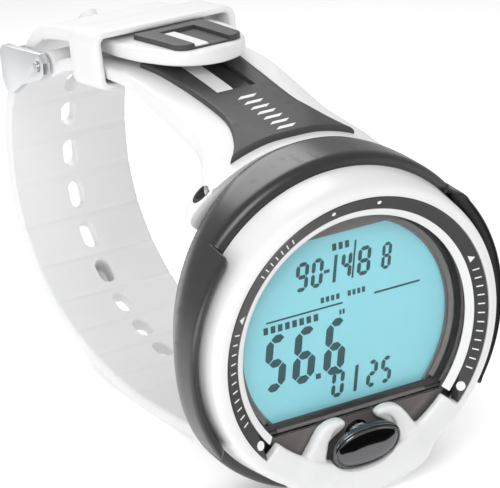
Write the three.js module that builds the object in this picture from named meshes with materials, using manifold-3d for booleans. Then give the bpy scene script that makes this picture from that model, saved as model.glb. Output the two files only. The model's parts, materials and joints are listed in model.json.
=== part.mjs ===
// Wrist dive computer, standing on its 6 o'clock rim and the belly of its closed strap.
// Every piece is drawn in the watch frame: +X to 3 o'clock, +Y to 12 o'clock, +Z out of
// the display, origin at the centre of the chapter ring's front edge. The last group turns
// the watch upright. Millimetres throughout.

import * as THREE from 'three';
import { mergeVertices } from 'three/addons/utils/BufferGeometryUtils.js';
import Module from 'manifold-3d';

const wasm = await Module();
wasm.setup();

// ---------------------------------------------------------------- driving dimensions

const GAP = 0.3;                    // clearance between neighbouring pieces
const STAND_TILT = THREE.MathUtils.degToRad(4.5);  // brings rim and strap belly level

const RING_OUTER = 26.0;            // chapter ring, outer and inner edge
const RING_INNER = 23.7;
const RING_DROP = 1.05;             // how far the ring's inner edge lies below its outer
const RING_OPENING = 41.7;          // the ring ends this many degrees below 3 and 9 o'clock

const BEZEL_TOP_R = 28.6;           // white bezel wall, top and foot
const BEZEL_FOOT_R = 29.3;
const BEZEL_FOOT_Z = -7.5;
const BRIDGE_R = 29.8;              // proud lip round the button
const BRIDGE_TOP = 0.6;

const BODY_R = 31.3;                // case flank
const BODY_RIDGE_Z = -8.4;
const BODY_BACK_Z = -18.8;
const BODY_BACK_HALF_WIDTH = 26.6;  // the flanks draw in towards the wrist at 3 and 9
const BODY_SQUEEZE = 0.85;          // width over height of that drawn-in back
const BUMPER_TOP_Z = -3.0;
const BUMPER_UPPER_DEG = 41;        // bumpers run from here above 3 and 9 o'clock
const BUMPER_LOWER_DEG = -33;       // to here below

const LENS_R = 23.1;
const LENS_TOP = -2.2;
const LENS_BOTTOM = -4.2;
const LENS_CHORD_Y = -14.6;         // straight lower edge above the button tube
const NECK_TOP = -2.6;
const SHELF_Z = -5.4;               // lens seat
const CAVITY_R = 21.4;
const CAVITY_FLOOR = -13.9;
const BACK_PLATE_R = 21.2;
const BACK_PLATE_SEAT = -17.2;

const LCD_R = 20.4;                 // window of the display
const LCD_TOP_Y = 18.6;
const LCD_BOTTOM_Y = -13.8;

const BUTTON_Y = -19.4;
const BUTTON_Z = 0.0;
const BUTTON_TILT = THREE.MathUtils.degToRad(15);
const BUTTON_HALF_WIDTH = 6.7;
const BUTTON_HALF_HEIGHT = 4.5;

const BATTERY_R = 12.2;
const BATTERY_HOLE_R = 13.4;
const CAP_R = 14.2;

const STRAP_HALF_WIDTH = 13.0;
const STRAP_THICKNESS = 2.8;
const SHORT_THICKNESS = 2.5;        // the short strap also carries the inlay
const STRAP_START_Z = -19.1;
const FLARE_HALF_WIDTH = 21.5;      // strap ends spread to hug the case
const FLARE_END_Z = -33;
const FLARE_THICKNESS = 3.4;
const LONG_FLARE_R = 31.4;          // outer curve of the spread ends, round the case axis
const SHORT_FLARE_R = 30.75;
const SHORT_FLARE_SLOPE = 0.16;     // the short strap rises as a cone from its case end
const CONE_START_Z = -20;
const TAPER_START_Z = -97;
const TAIL_HALF_WIDTH = 10.9;
const TAIL_END_Z = -46.4;
const SLOT_LENGTH = 5.4;
const SLOT_WIDTH = 2.9;
const SLOT_PITCH = 8.65;
const SLOT_COUNT = 11;
const LAST_SLOT_Z = -76.6;          // slot nearest to the case, on the long strap's belly
const INLAY_THICKNESS = 0.8;

const PIN_Y = 24.6;                 // lug pins
const PIN_Z = -21.3;
const PIN_R = 0.9;
const PIN_HALF_LENGTH = 16.6;
const LUG_HALF_WIDTH = 14.0;
const LUG_R = 2.5;

const BAR_Y = 25.3;                 // spring bar of the buckle
const BAR_Z = -93.0;
const BAR_R = 0.9;
const CROSS_Y = 23.3;               // buckle's cross bar
const CROSS_Z = -108.6;
const CROSS_R = 1.2;

// ---------------------------------------------------------------- materials

function plastic(color, roughness) {
  return new THREE.MeshStandardMaterial({ color, roughness, metalness: 0 });
}

function metal(color, roughness) {
  return new THREE.MeshStandardMaterial({ color, roughness, metalness: 1 });
}

const WHITE_RUBBER = plastic(0xf1f1f0, 0.55);
const WHITE_PLASTIC = plastic(0xf4f4f4, 0.3);
const DARK_BODY = plastic(0x2c2c2e, 0.45);
const DARK_INLAY = plastic(0x5f5f60, 0.5);
const RING_GREY = plastic(0x58585a, 0.4);
const LCD_BLUE = plastic(0x98e1f0, 0.35);
const BOARD_GREEN = plastic(0x1f5a38, 0.5);
const SEAL_BLACK = plastic(0x141414, 0.7);
const GLASS = new THREE.MeshStandardMaterial({
  color: 0xeaf2f4, roughness: 0.05, metalness: 0, transparent: true, opacity: 0.3,
});
const STEEL = metal(0xb9bcc0, 0.3);
const DARK_CHROME = metal(0x4a4c50, 0.2);
const BRASS = metal(0xc8a85a, 0.35);

// ---------------------------------------------------------------- solids and booleans

/** Closed geometry to a manifold solid, with its faces turned outwards. */
function toSolid(source) {
  const bare = source.clone();
  bare.deleteAttribute('normal');
  bare.deleteAttribute('uv');
  const merged = mergeVertices(bare, 1e-4);
  const position = merged.attributes.position;
  const index = merged.index.array;
  const corner = [new THREE.Vector3(), new THREE.Vector3(), new THREE.Vector3()];
  const kept = [];
  let volume = 0;
  for (let i = 0; i < index.length; i += 3) {
    const [a, b, c] = [index[i], index[i + 1], index[i + 2]];
    if (a === b || b === c || c === a) continue;
    kept.push(a, b, c);
    corner[0].fromBufferAttribute(position, a);
    corner[1].fromBufferAttribute(position, b);
    corner[2].fromBufferAttribute(position, c);
    volume += corner[0].dot(corner[1].cross(corner[2]));
  }
  if (volume < 0) kept.reverse();
  return new wasm.Manifold(new wasm.Mesh({
    numProp: 3,
    vertProperties: new Float32Array(position.array),
    triVerts: new Uint32Array(kept),
  }));
}

function toGeometry(solid) {
  const mesh = solid.getMesh();
  const geometry = new THREE.BufferGeometry();
  geometry.setAttribute('position', new THREE.BufferAttribute(mesh.vertProperties, 3));
  geometry.setIndex(new THREE.BufferAttribute(mesh.triVerts, 1));
  geometry.computeVertexNormals();
  return geometry;
}

function joined(solids) {
  return solids.reduce((sum, solid) => sum.add(solid));
}

/** Ring or disc about +Z from [radius, z] points. */
function turned(points, segments = 40) {
  const profile = points.map(([r, z]) => new THREE.Vector2(r, z));
  if (points[0][0] > 0) profile.push(profile[0].clone());
  const geometry = new THREE.LatheGeometry(profile, segments);
  geometry.rotateX(Math.PI / 2);
  return toSolid(geometry);
}

function disc(radius, low, high, segments = 48) {
  return turned([[0, low], [radius, low], [radius, high], [0, high]], segments);
}

function washer(inner, outer, low, high, segments = 48) {
  return turned([[inner, low], [outer, low], [outer, high], [inner, high]], segments);
}

function box(x0, x1, y0, y1, z0, z1) {
  const geometry = new THREE.BoxGeometry(x1 - x0, y1 - y0, z1 - z0);
  geometry.translate((x0 + x1) / 2, (y0 + y1) / 2, (z0 + z1) / 2);
  return toSolid(geometry);
}

/** Round bar along +X. */
function barAlongX(radius, x0, x1, y, z, segments = 20) {
  const geometry = new THREE.CylinderGeometry(radius, radius, x1 - x0, segments);
  geometry.rotateZ(Math.PI / 2);
  geometry.translate((x0 + x1) / 2, y, z);
  return toSolid(geometry);
}

function plainExtrude(shape, depth, curveSegments) {
  return new THREE.ExtrudeGeometry(shape, { depth, bevelEnabled: false, curveSegments });
}

/** Outline in X-Y, standing from z0 to z1. */
function extrudeZ(shape, z0, z1, curveSegments = 12) {
  const geometry = plainExtrude(shape, z1 - z0, curveSegments);
  geometry.translate(0, 0, z0);
  return toSolid(geometry);
}

/** Outline of (y, z) points, carried along X between x0 and x1. */
function extrudeX(shape, x0, x1, curveSegments = 12) {
  const geometry = plainExtrude(shape, x1 - x0, curveSegments);
  const sideways = new THREE.Matrix4().makeBasis(
    new THREE.Vector3(0, 1, 0), new THREE.Vector3(0, 0, 1), new THREE.Vector3(1, 0, 0));
  geometry.applyMatrix4(sideways);
  geometry.translate(x0, 0, 0);
  return toSolid(geometry);
}

/** Outline of (x, z) points, carried along Y between y0 and y1. */
function extrudeY(shape, y0, y1, curveSegments = 12) {
  const geometry = plainExtrude(shape, y1 - y0, curveSegments);
  const upright = new THREE.Matrix4().makeBasis(
    new THREE.Vector3(1, 0, 0), new THREE.Vector3(0, 0, 1), new THREE.Vector3(0, -1, 0));
  geometry.applyMatrix4(upright);
  geometry.translate(0, y1, 0);
  return toSolid(geometry);
}

function polygon(points) {
  return new THREE.Shape(points.map(([a, b]) => new THREE.Vector2(a, b)));
}

/** Circle cut by level chords above and below. */
function chordedCircle(radius, bottomY, topY) {
  const low = Math.asin(bottomY / radius);
  const high = topY >= radius ? Math.PI / 2 : Math.asin(topY / radius);
  const shape = new THREE.Shape();
  shape.absarc(0, 0, radius, low, high, false);
  shape.absarc(0, 0, radius, Math.PI - high, Math.PI - low, false);
  return shape;
}

/** Wedge of a ring between two angles in degrees, standing from z0 to z1. */
function ringSector(inner, outer, fromDeg, toDeg, z0, z1) {
  const from = THREE.MathUtils.degToRad(fromDeg);
  const to = THREE.MathUtils.degToRad(toDeg);
  const shape = new THREE.Shape();
  shape.absarc(0, 0, outer, from, to, false);
  shape.absarc(0, 0, inner, to, from, true);
  return extrudeZ(shape, z0, z1, 13);
}

const meshes = [];

function piece(name, solid, material) {
  const mesh = new THREE.Mesh(toGeometry(solid), material);
  mesh.name = name;
  meshes.push(mesh);
  return mesh;
}

// ---------------------------------------------------------------- strap curves

/** Smooth (y, z) curve with its outward normals, away from the middle of the wrist. */
function strapCurve(points, steps) {
  const wrist = new THREE.Vector2(0, -62);
  const spline = new THREE.SplineCurve(points.map(([y, z]) => new THREE.Vector2(y, z)));
  return spline.getSpacedPoints(steps).map((point, i) => {
    const tangent = spline.getTangentAt(i / steps);
    const normal = new THREE.Vector2(tangent.y, -tangent.x);
    if (normal.dot(point.clone().sub(wrist)) < 0) normal.negate();
    return { point, normal };
  });
}

/** Band lying between two heights above a strap curve. */
function band(curve, low, high, halfWidth) {
  const above = curve.map(({ point, normal }) => point.clone().addScaledVector(normal, high));
  const below = curve.map(({ point, normal }) => point.clone().addScaledVector(normal, low));
  const shape = new THREE.Shape([...above, ...below.reverse()]);
  return extrudeX(shape, -halfWidth, halfWidth);
}

// inner faces of the two straps, [y, z]
const LONG_INNER = strapCurve([
  [-28.6, STRAP_START_Z], [-28.8, -30], [-29.9, -40], [-31.4, -50], [-32.5, -60],
  [-32.7, -68], [-32.0, -79], [-29.6, -90], [-26.0, -98.6], [-21.0, -105.4],
  [-14.5, -110.6], [-7.5, -113.2], [0, -113.9], [7.0, -113.2], [13.0, -110.8],
  [18.0, -107.0], [22.0, -103.3], [26.0, -99.9], [29.2, -95.6], [31.0, -89],
  [32.3, -80], [33.5, -70], [35.0, -60], [36.4, -50], [37.2, -43.5],
], 66);
const SHORT_INNER = strapCurve([
  [28.2, STRAP_START_Z], [28.4, -23], [29.1, -32], [29.9, -40], [30.5, -48], [30.8, -56],
  [30.2, -65], [28.7, -75], [26.4, -84.5], [22.9, -92.0],
], 30);

// ---------------------------------------------------------------- case

function caseBody() {
  const shell = turned([
    [23.5, NECK_TOP], [25.9, NECK_TOP], [25.9, -7.8], [29.2, -7.8], [30.4, -8.1],
    [31.0, -8.7], [BODY_R, -9.6], [BODY_R, BODY_BACK_Z], [21.5, BODY_BACK_Z],
    [21.5, BACK_PLATE_SEAT], [BATTERY_HOLE_R, BACK_PLATE_SEAT],
    [BATTERY_HOLE_R, CAVITY_FLOOR], [CAVITY_R, CAVITY_FLOOR], [CAVITY_R, SHELF_Z],
    [23.5, SHELF_Z],
  ]);
  const bumpers = [[BUMPER_LOWER_DEG, BUMPER_UPPER_DEG],
    [180 - BUMPER_UPPER_DEG, 180 - BUMPER_LOWER_DEG]].map(
    ([from, to]) => ringSector(29.6, 31.2, from, to, -10, BUMPER_TOP_Z));
  // the drawn-in back is a cone squeezed in height
  const depth = -BODY_BACK_Z;
  const slope = (BODY_R - BODY_BACK_HALF_WIDTH) / (depth + BODY_RIDGE_Z - 1.2);
  const coneTop = BODY_BACK_HALF_WIDTH + slope * depth;
  const coneGeometry = new THREE.CylinderGeometry(coneTop, BODY_BACK_HALF_WIDTH, depth, 40);
  coneGeometry.rotateX(Math.PI / 2);
  coneGeometry.translate(0, 0, BODY_BACK_Z / 2);
  coneGeometry.scale(1, 1 / BODY_SQUEEZE, 1);
  const cone = toSolid(coneGeometry);
  const lugs = [PIN_Y, -PIN_Y].map((y) => lug(y));
  const tube = buttonTube();
  let body = joined([shell, ...bumpers]).intersect(cone);
  body = joined([body, ...lugs, tube]);
  for (const cut of buttonBores()) body = body.subtract(cut);
  for (const y of [PIN_Y, -PIN_Y]) {
    body = body.subtract(barAlongX(PIN_R + GAP, -20, 20, y, PIN_Z));
  }
  body = body.subtract(sensorPort(2.7));
  for (const [x, y] of screwPlaces()) {
    body = body.subtract(disc(0.95, -17.5, -14.9, 8).translate([x, y, 0]));
  }
  return body;
}

/** Solid knuckle between the ears of a strap end. */
function lug(y) {
  const root = Math.sign(y);
  const knuckle = barAlongX(LUG_R, -LUG_HALF_WIDTH, LUG_HALF_WIDTH, y, PIN_Z);
  const web = box(-LUG_HALF_WIDTH, LUG_HALF_WIDTH, Math.min(y - LUG_R * root, y + LUG_R * root),
    Math.max(y - LUG_R * root, y + LUG_R * root), PIN_Z, BODY_BACK_Z + 1);
  return knuckle.add(web);
}

/** Filling of the lens seat below the lens chord, which holds the button tube. */
function buttonTube() {
  const filling = chordedCircle(23.6, -23.5, LENS_CHORD_Y - GAP);
  return extrudeZ(filling, SHELF_Z, NECK_TOP, 10);
}

function tilted(solid) {
  return solid.rotate([THREE.MathUtils.radToDeg(BUTTON_TILT), 0, 0])
    .translate([0, BUTTON_Y, BUTTON_Z]);
}

function buttonBores() {
  return [
    tilted(disc(1.5, -12, 2, 14)),
    tilted(disc(3.0, -3.2, 4, 16)),
  ];
}

function sensorPort(radius) {
  return disc(radius, -19, -10.3, 20).translate([0, 17.4, 0]);
}

function screwPlaces() {
  return [45, 135, 225, 315].map((deg) => {
    const angle = THREE.MathUtils.degToRad(deg);
    return [18.6 * Math.cos(angle), 18.6 * Math.sin(angle)];
  });
}

piece('case_body', caseBody(), DARK_BODY);

// ---------------------------------------------------------------- bezel and rings

/** Half outline of the curled horn that reaches round the button, for x > 0. */
function hornShape(side) {
  const shape = new THREE.Shape();
  shape.moveTo(side * 12.2, -21.6);
  shape.quadraticCurveTo(side * 11.6, -19.4, side * 10.1, -17.8);
  shape.quadraticCurveTo(side * 8.6, -14.6, side * 5.9, -14.2);
  shape.quadraticCurveTo(side * 3.0, -13.9, side * 3.0, -15.2);
  shape.quadraticCurveTo(side * 3.4, -16.4, side * 5.6, -17.4);
  shape.lineTo(side * 7.4, -21.6);
  return shape;
}

function ovalShape(halfWidth, halfHeight) {
  const shape = new THREE.Shape();
  shape.absellipse(0, 0, halfWidth, halfHeight, 0, Math.PI * 2, false, 0);
  return shape;
}

function bezelRing() {
  const wall = turned([
    [26.3, -0.05], [27.4, -0.25], [28.2, -0.9], [BEZEL_TOP_R, -2.0],
    [BEZEL_FOOT_R, BEZEL_FOOT_Z], [26.3, BEZEL_FOOT_Z],
  ]);
  const apron = ringSector(22.7, 27.5, 270 - 90 + RING_OPENING + 1, 360 - RING_OPENING - 1,
    -1.9, 0.0);
  const lip = ringSector(26.3, BRIDGE_R, 240, 300, BEZEL_FOOT_Z, BRIDGE_TOP);
  const horns = [-1, 1].map((side) => extrudeZ(hornShape(side), -1.9, -0.2, 6));
  const well = tilted(extrudeZ(ovalShape(BUTTON_HALF_WIDTH + GAP, BUTTON_HALF_HEIGHT + GAP),
    -1.6, 5, 10));
  const shoulder = ringSector(22.7, 27.5, 246, 294, -1.9, BRIDGE_TOP);
  let ring = joined([wall, apron, lip, shoulder, ...horns]).subtract(well);
  ring = ring.subtract(tilted(disc(3.4, -6, 4, 28)));
  return ring;
}

function chapterRing() {
  const whole = turned([
    [RING_INNER, -RING_DROP], [RING_INNER, -2.3], [RING_OUTER, -2.3], [RING_OUTER, 0],
  ]);
  const angle = THREE.MathUtils.degToRad(RING_OPENING);
  const [tipX, tipY] = [RING_OUTER * Math.cos(angle), -RING_OUTER * Math.sin(angle)];
  const opening = polygon([[tipX + 1.6, -9.6], [tipX - 0.1, tipY], [tipX + 4, -30],
    [-tipX - 4, -30], [0.1 - tipX, tipY], [-tipX - 1.6, -9.6]]);
  return whole.subtract(extrudeZ(opening, -4, 2));
}

function trimRing() {
  const whole = turned([[22.3, -1.9], [23.4, -1.9], [23.4, -1.1], [23.1, -1.0]]);
  const angle = THREE.MathUtils.degToRad(RING_OPENING - 1);
  return whole.subtract(box(-30, 30, -30, -23.4 * Math.sin(angle), -4, 2));
}

piece('bezel_ring', bezelRing(), WHITE_PLASTIC);
piece('chapter_ring', chapterRing(), RING_GREY);
piece('inner_trim_ring', trimRing(), WHITE_PLASTIC);

// ---------------------------------------------------------------- lens and display stack

const gasketOutline = chordedCircle(22.8, LENS_CHORD_Y + GAP, 30);
gasketOutline.holes.push(new THREE.Path(chordedCircle(21.7, LENS_CHORD_Y + 1.2, 30).getPoints(10)));

piece('lens', extrudeZ(chordedCircle(LENS_R, LENS_CHORD_Y, 30), LENS_BOTTOM, LENS_TOP, 18), GLASS);
piece('lens_gasket', extrudeZ(gasketOutline, -5.1, -4.5, 10), SEAL_BLACK);

const maskOutline = chordedCircle(21.1, LCD_BOTTOM_Y - 1.6, 30);
maskOutline.holes.push(new THREE.Path(chordedCircle(LCD_R, LCD_BOTTOM_Y, LCD_TOP_Y).getPoints(10)));

piece('display_mask', extrudeZ(maskOutline, -6.0, -5.6, 10), DARK_BODY);
piece('lcd_panel', extrudeZ(chordedCircle(20.9, LCD_BOTTOM_Y - 0.8, 19.2), -7.3, -6.3, 14), LCD_BLUE);
piece('backlight_panel', extrudeZ(chordedCircle(20.6, LCD_BOTTOM_Y - 0.4, 18.8), -8.2, -7.6, 12),
  WHITE_PLASTIC);
piece('circuit_board', disc(20.9, -10.0, -8.9, 36), BOARD_GREEN);
piece('tact_switch', box(-3, 3, -19.0, -15.6, -8.6, -8.1), SEAL_BLACK);
piece('buzzer', disc(4.4, -12.1, -10.3, 24).translate([12.6, 6.5, 0]), BRASS);
piece('pressure_sensor', disc(2.4, -16.9, -10.3, 20).translate([0, 17.4, 0]), STEEL);

function boardSpacer() {
  const ring = washer(19.6, 21.1, -13.6, -10.3, 36);
  return ring.subtract(disc(2.7, -15, -9, 20).translate([0, 17.4, 0]));
}

function contactLeaf() {
  const leaf = polygon([[-8, -10.3], [-5.5, -10.3], [0, -11.8], [5.5, -10.3], [8, -10.3],
    [8, -10.7], [5.6, -10.7], [0, -12.3], [-5.6, -10.7], [-8, -10.7]]);
  return extrudeX(leaf, -2.2, 2.2);
}

piece('board_spacer', boardSpacer(), WHITE_PLASTIC);
piece('battery_contact', contactLeaf(), BRASS);
piece('battery', turned([[0, -15.6], [10.4, -15.6], [10.7, -15.3], [BATTERY_R - 0.3, -15.3],
  [BATTERY_R, -15.0], [BATTERY_R, -12.8], [BATTERY_R - 0.3, -12.6], [0, -12.6]], 32), STEEL);

// ---------------------------------------------------------------- case back

function backPlate() {
  let plate = washer(CAP_R + GAP, BACK_PLATE_R, -18.8, BACK_PLATE_SEAT - GAP, 36);
  plate = plate.subtract(disc(0.9, -20, -16, 12).translate([0, 17.4, 0]));
  for (const [x, y] of screwPlaces()) {
    plate = plate.subtract(disc(1.0, -20, -16, 10).translate([x, y, 0]));
    plate = plate.subtract(disc(1.75, -20, -18.1, 12).translate([x, y, 0]));
  }
  return plate;
}

function backScrew(x, y) {
  const screw = turned([[0, -15.2], [0.65, -15.2], [0.65, -18.1 - GAP], [1.45, -18.1 - GAP],
    [1.45, -18.9], [1.1, -19.2], [0, -19.2]], 10);
  const drive = box(-0.9, 0.9, -0.18, 0.18, -20, -18.9);
  return screw.subtract(drive).translate([x, y, 0]);
}

function batteryCap() {
  const cap = turned([
    [0, -15.9], [13.1, -15.9], [13.1, -16.2], [11.8, -16.2], [11.8, -17.3], [13.1, -17.3],
    [13.1, -17.6], [CAP_R, -17.6], [CAP_R, -19.2], [13.6, -19.6], [0, -19.6],
  ], 32);
  return cap.subtract(box(-8.5, 8.5, -0.9, 0.9, -21, -18.3));
}

const sealRing = new THREE.TorusGeometry(12.65, 0.5, 6, 24);
sealRing.translate(0, 0, -16.75);

piece('back_plate', backPlate(), DARK_BODY);
screwPlaces().forEach(([x, y], i) => piece(`back_screw_${i + 1}`, backScrew(x, y), STEEL));
piece('battery_cap', batteryCap(), DARK_BODY);
piece('battery_cap_seal', toSolid(sealRing), SEAL_BLACK);

// ---------------------------------------------------------------- button

function buttonCap() {
  const plate = extrudeZ(ovalShape(BUTTON_HALF_WIDTH, BUTTON_HALF_HEIGHT), 0.2, 1.3, 10);
  const crown = extrudeZ(ovalShape(BUTTON_HALF_WIDTH - 0.7, BUTTON_HALF_HEIGHT - 0.7), 1.2, 1.9, 10);
  return joined([plate, crown]);
}

function buttonStem() {
  return turned([[0, -6.8], [1.1, -6.8], [1.1, -6.55], [0.7, -6.55], [0.7, -6.2], [1.1, -6.2],
    [1.1, -4.5], [0.75, -4.5], [0.75, -3.7], [1.1, -3.7], [1.1, -0.1], [0, -0.1]], 18);
}

class Helix extends THREE.Curve {
  constructor(radius, length, turns) {
    super();
    this.radius = radius;
    this.length = length;
    this.turns = turns;
  }

  getPoint(t) {
    const angle = t * this.turns * Math.PI * 2;
    return new THREE.Vector3(this.radius * Math.cos(angle), this.radius * Math.sin(angle),
      t * this.length);
  }
}

function buttonSpring() {
  const wire = new THREE.Shape();
  wire.absarc(0, 0, 0.2, 0, Math.PI * 2, false);
  const geometry = new THREE.ExtrudeGeometry(wire, {
    steps: 26, curveSegments: 2, bevelEnabled: false, extrudePath: new Helix(2.1, 1.2, 2.5),
  });
  return toSolid(geometry).translate([0, 0, -2.7]);
}

const buttonSealRing = new THREE.TorusGeometry(1.1, 0.3, 6, 16);
buttonSealRing.translate(0, 0, -4.1);

piece('button_cap', tilted(buttonCap()), DARK_CHROME);
piece('button_stem', tilted(buttonStem()), STEEL);
piece('button_spring', tilted(buttonSpring()), STEEL);
piece('button_seal', tilted(toSolid(buttonSealRing)), SEAL_BLACK);
piece('button_clip', tilted(washer(1.0, 1.8, -6.5, -6.25, 16)), STEEL);

// ---------------------------------------------------------------- straps

/** Plan outline (x, z) of a strap end that spreads out to hug the case. */
function flarePlan() {
  const shape = new THREE.Shape();
  shape.moveTo(-FLARE_HALF_WIDTH, STRAP_START_Z);
  shape.quadraticCurveTo(-18.0, -20.9, -17.2, -24);
  shape.quadraticCurveTo(-14.4, -27.2, -STRAP_HALF_WIDTH, FLARE_END_Z);
  shape.lineTo(STRAP_HALF_WIDTH, FLARE_END_Z);
  shape.quadraticCurveTo(14.4, -27.2, 17.2, -24);
  shape.quadraticCurveTo(18.0, -20.9, FLARE_HALF_WIDTH, STRAP_START_Z);
  return shape;
}

/** Everything inside a cone round the case axis, from the case end of a strap backwards. */
function insideCone(radius, slope, endZ) {
  const grown = (z) => radius + slope * (CONE_START_Z - z);
  return turned([[0, endZ], [grown(endZ), endZ], [grown(STRAP_START_Z), STRAP_START_Z],
    [0, STRAP_START_Z]], 48);
}

/** Spread end with its two ears, drawn at 12 o'clock. */
function flare(radius, slope) {
  const cone = insideCone(radius, slope, FLARE_END_Z);
  const shell = cone.subtract(insideCone(radius - FLARE_THICKNESS, slope, FLARE_END_Z));
  const earRoom = LUG_HALF_WIDTH + GAP;
  const ears = [-1, 1].map((side) => {
    const x0 = side > 0 ? earRoom : -FLARE_HALF_WIDTH;
    const x1 = side > 0 ? FLARE_HALF_WIDTH : -earRoom;
    const round = barAlongX(3.0, x0, x1, PIN_Y, PIN_Z);
    return joined([round, box(x0, x1, PIN_Y, PIN_Y + 5, PIN_Z - 3, STRAP_START_Z)])
      .intersect(box(x0, x1, 0, 40, -40, STRAP_START_Z));
  });
  const plan = extrudeY(flarePlan(), 15, 36);
  const middle = box(-earRoom, earRoom, 15, PIN_Y + LUG_R + GAP, -40, -10);
  return joined([shell, ...ears]).intersect(plan).intersect(cone)
    .subtract(middle)
    .subtract(barAlongX(PIN_R + GAP / 2, -20, 20, PIN_Y, PIN_Z));
}

/** Rounded slot through the strap, across it at one place on its curve. */
function slotCutter({ point, normal }) {
  const half = SLOT_LENGTH / 2 - SLOT_WIDTH / 2;
  const outline = new THREE.Shape();
  outline.absarc(0, half, SLOT_WIDTH / 2, 0, Math.PI, false);
  outline.absarc(0, -half, SLOT_WIDTH / 2, Math.PI, 2 * Math.PI, false);
  const cutter = extrudeZ(outline, -2, 5, 4);
  const angle = Math.atan2(normal.x, normal.y);
  return cutter.rotate([-THREE.MathUtils.radToDeg(angle), 0, 0])
    .translate([0, point.x, point.y]);
}

/** Place on a strap curve, at a length along it from its sample number start. */
function placeAt(curve, start, distance) {
  let run = 0;
  let i = start;
  while (i < curve.length - 2) {
    const step = curve[i + 1].point.distanceTo(curve[i].point);
    if (run + step > distance) break;
    run += step;
    i += 1;
  }
  const share = (distance - run) / curve[i + 1].point.distanceTo(curve[i].point);
  return {
    point: curve[i].point.clone().lerp(curve[i + 1].point, share),
    normal: curve[i].normal.clone().lerp(curve[i + 1].normal, share),
  };
}

/** Plan of the long strap's narrower tail with its rounded end. */
function tailTip() {
  const shape = new THREE.Shape();
  shape.moveTo(-STRAP_HALF_WIDTH, TAPER_START_Z);
  shape.lineTo(STRAP_HALF_WIDTH, TAPER_START_Z);
  shape.quadraticCurveTo(TAIL_HALF_WIDTH, -82, TAIL_HALF_WIDTH, -70);
  shape.quadraticCurveTo(TAIL_HALF_WIDTH, -60, 9.3, -56);
  shape.quadraticCurveTo(7.4, TAIL_END_Z, 0, TAIL_END_Z);
  shape.quadraticCurveTo(-7.4, TAIL_END_Z, -9.3, -56);
  shape.quadraticCurveTo(-TAIL_HALF_WIDTH, -60, -TAIL_HALF_WIDTH, -70);
  shape.quadraticCurveTo(-TAIL_HALF_WIDTH, -82, -STRAP_HALF_WIDTH, TAPER_START_Z);
  return extrudeY(shape, 20, 50, 6);
}

function strapLong() {
  const whole = band(LONG_INNER, 0, STRAP_THICKNESS, STRAP_HALF_WIDTH);
  const tailZone = box(-30, 30, 20, 60, TAPER_START_Z, 0);
  const tail = whole.intersect(tailZone).intersect(tailTip());
  let strap = joined([whole.subtract(tailZone), tail]);
  strap = strap.add(flare(LONG_FLARE_R, 0).mirror([0, 1, 0]));
  const belly = LONG_INNER.findIndex(({ point }) => point.y < LAST_SLOT_Z) - 1;
  const lead = LONG_INNER[belly].point.y - LAST_SLOT_Z;
  for (let i = 0; i < SLOT_COUNT; i += 1) {
    const run = lead + i * SLOT_PITCH;
    strap = strap.subtract(slotCutter(placeAt(LONG_INNER, belly, run)));
  }
  return strap;
}

/** Everything under the short strap's outer face, raised by a given height. */
function underShortFace(raised, halfWidth) {
  const filled = band(SHORT_INNER, -8, SHORT_THICKNESS + raised, halfWidth);
  return filled.intersect(insideCone(SHORT_FLARE_R + raised, SHORT_FLARE_SLOPE, -96));
}

function strapShort() {
  const main = band(SHORT_INNER, 0, SHORT_THICKNESS, STRAP_HALF_WIDTH);
  const knuckle = barAlongX(2.5, -STRAP_HALF_WIDTH, STRAP_HALF_WIDTH, BAR_Y, BAR_Z, 24);
  const spread = flare(SHORT_FLARE_R, SHORT_FLARE_SLOPE)
    .intersect(box(-30, 30, 0, 60, -50, CONE_START_Z + 10));
  const face = underShortFace(0, 30);
  let strap = joined([main.intersect(face), spread.intersect(face), knuckle]);
  strap = strap.subtract(barAlongX(BAR_R + GAP / 2, -20, 20, BAR_Y, BAR_Z));
  return strap.subtract(box(-1.8, 1.8, 18, 32, -100, -88.6));
}

/** Plan of the short strap's dark inlay: broad at the case, waisted, then widening slightly. */
function overlayPlan() {
  const shape = new THREE.Shape();
  shape.moveTo(-12.7, -20.3);
  shape.quadraticCurveTo(-8.6, -26.5, -7.3, -32.5);
  shape.quadraticCurveTo(-7.2, -38, -8.5, -62);
  shape.lineTo(8.5, -62);
  shape.quadraticCurveTo(7.2, -38, 7.3, -32.5);
  shape.quadraticCurveTo(8.6, -26.5, 12.7, -20.3);
  shape.lineTo(-12.7, -20.3);
  return shape;
}

function strapInlay() {
  return underShortFace(GAP + INLAY_THICKNESS, STRAP_HALF_WIDTH)
    .subtract(underShortFace(GAP, STRAP_HALF_WIDTH + 1))
    .intersect(extrudeY(overlayPlan(), 24, 40, 6));
}

/** Plan of the dark shield-shaped inlay near the tail's end. */
function tailInlayPlan() {
  const shape = new THREE.Shape();
  shape.moveTo(-7.3, -66.5);
  shape.lineTo(7.3, -66.5);
  shape.lineTo(6.7, -51.5);
  shape.quadraticCurveTo(6.6, -49, 4.4, -49);
  shape.lineTo(-4.4, -49);
  shape.quadraticCurveTo(-6.6, -49, -6.7, -51.5);
  shape.lineTo(-7.3, -66.5);
  return shape;
}

function tailInlay() {
  const foot = STRAP_THICKNESS + GAP;
  return band(LONG_INNER, foot, foot + INLAY_THICKNESS, STRAP_HALF_WIDTH)
    .intersect(extrudeY(tailInlayPlan(), 30, 52, 8));
}

piece('strap_short', strapShort(), WHITE_RUBBER);
piece('strap_inlay', strapInlay(), DARK_INLAY);
piece('strap_long', strapLong(), WHITE_RUBBER);
piece('tail_inlay', tailInlay(), DARK_INLAY);
piece('lug_pin_12', barAlongX(PIN_R, -PIN_HALF_LENGTH, PIN_HALF_LENGTH, PIN_Y, PIN_Z, 16), STEEL);
piece('lug_pin_6', barAlongX(PIN_R, -PIN_HALF_LENGTH, PIN_HALF_LENGTH, -PIN_Y, PIN_Z, 16), STEEL);

// ---------------------------------------------------------------- keeper and buckle

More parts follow.
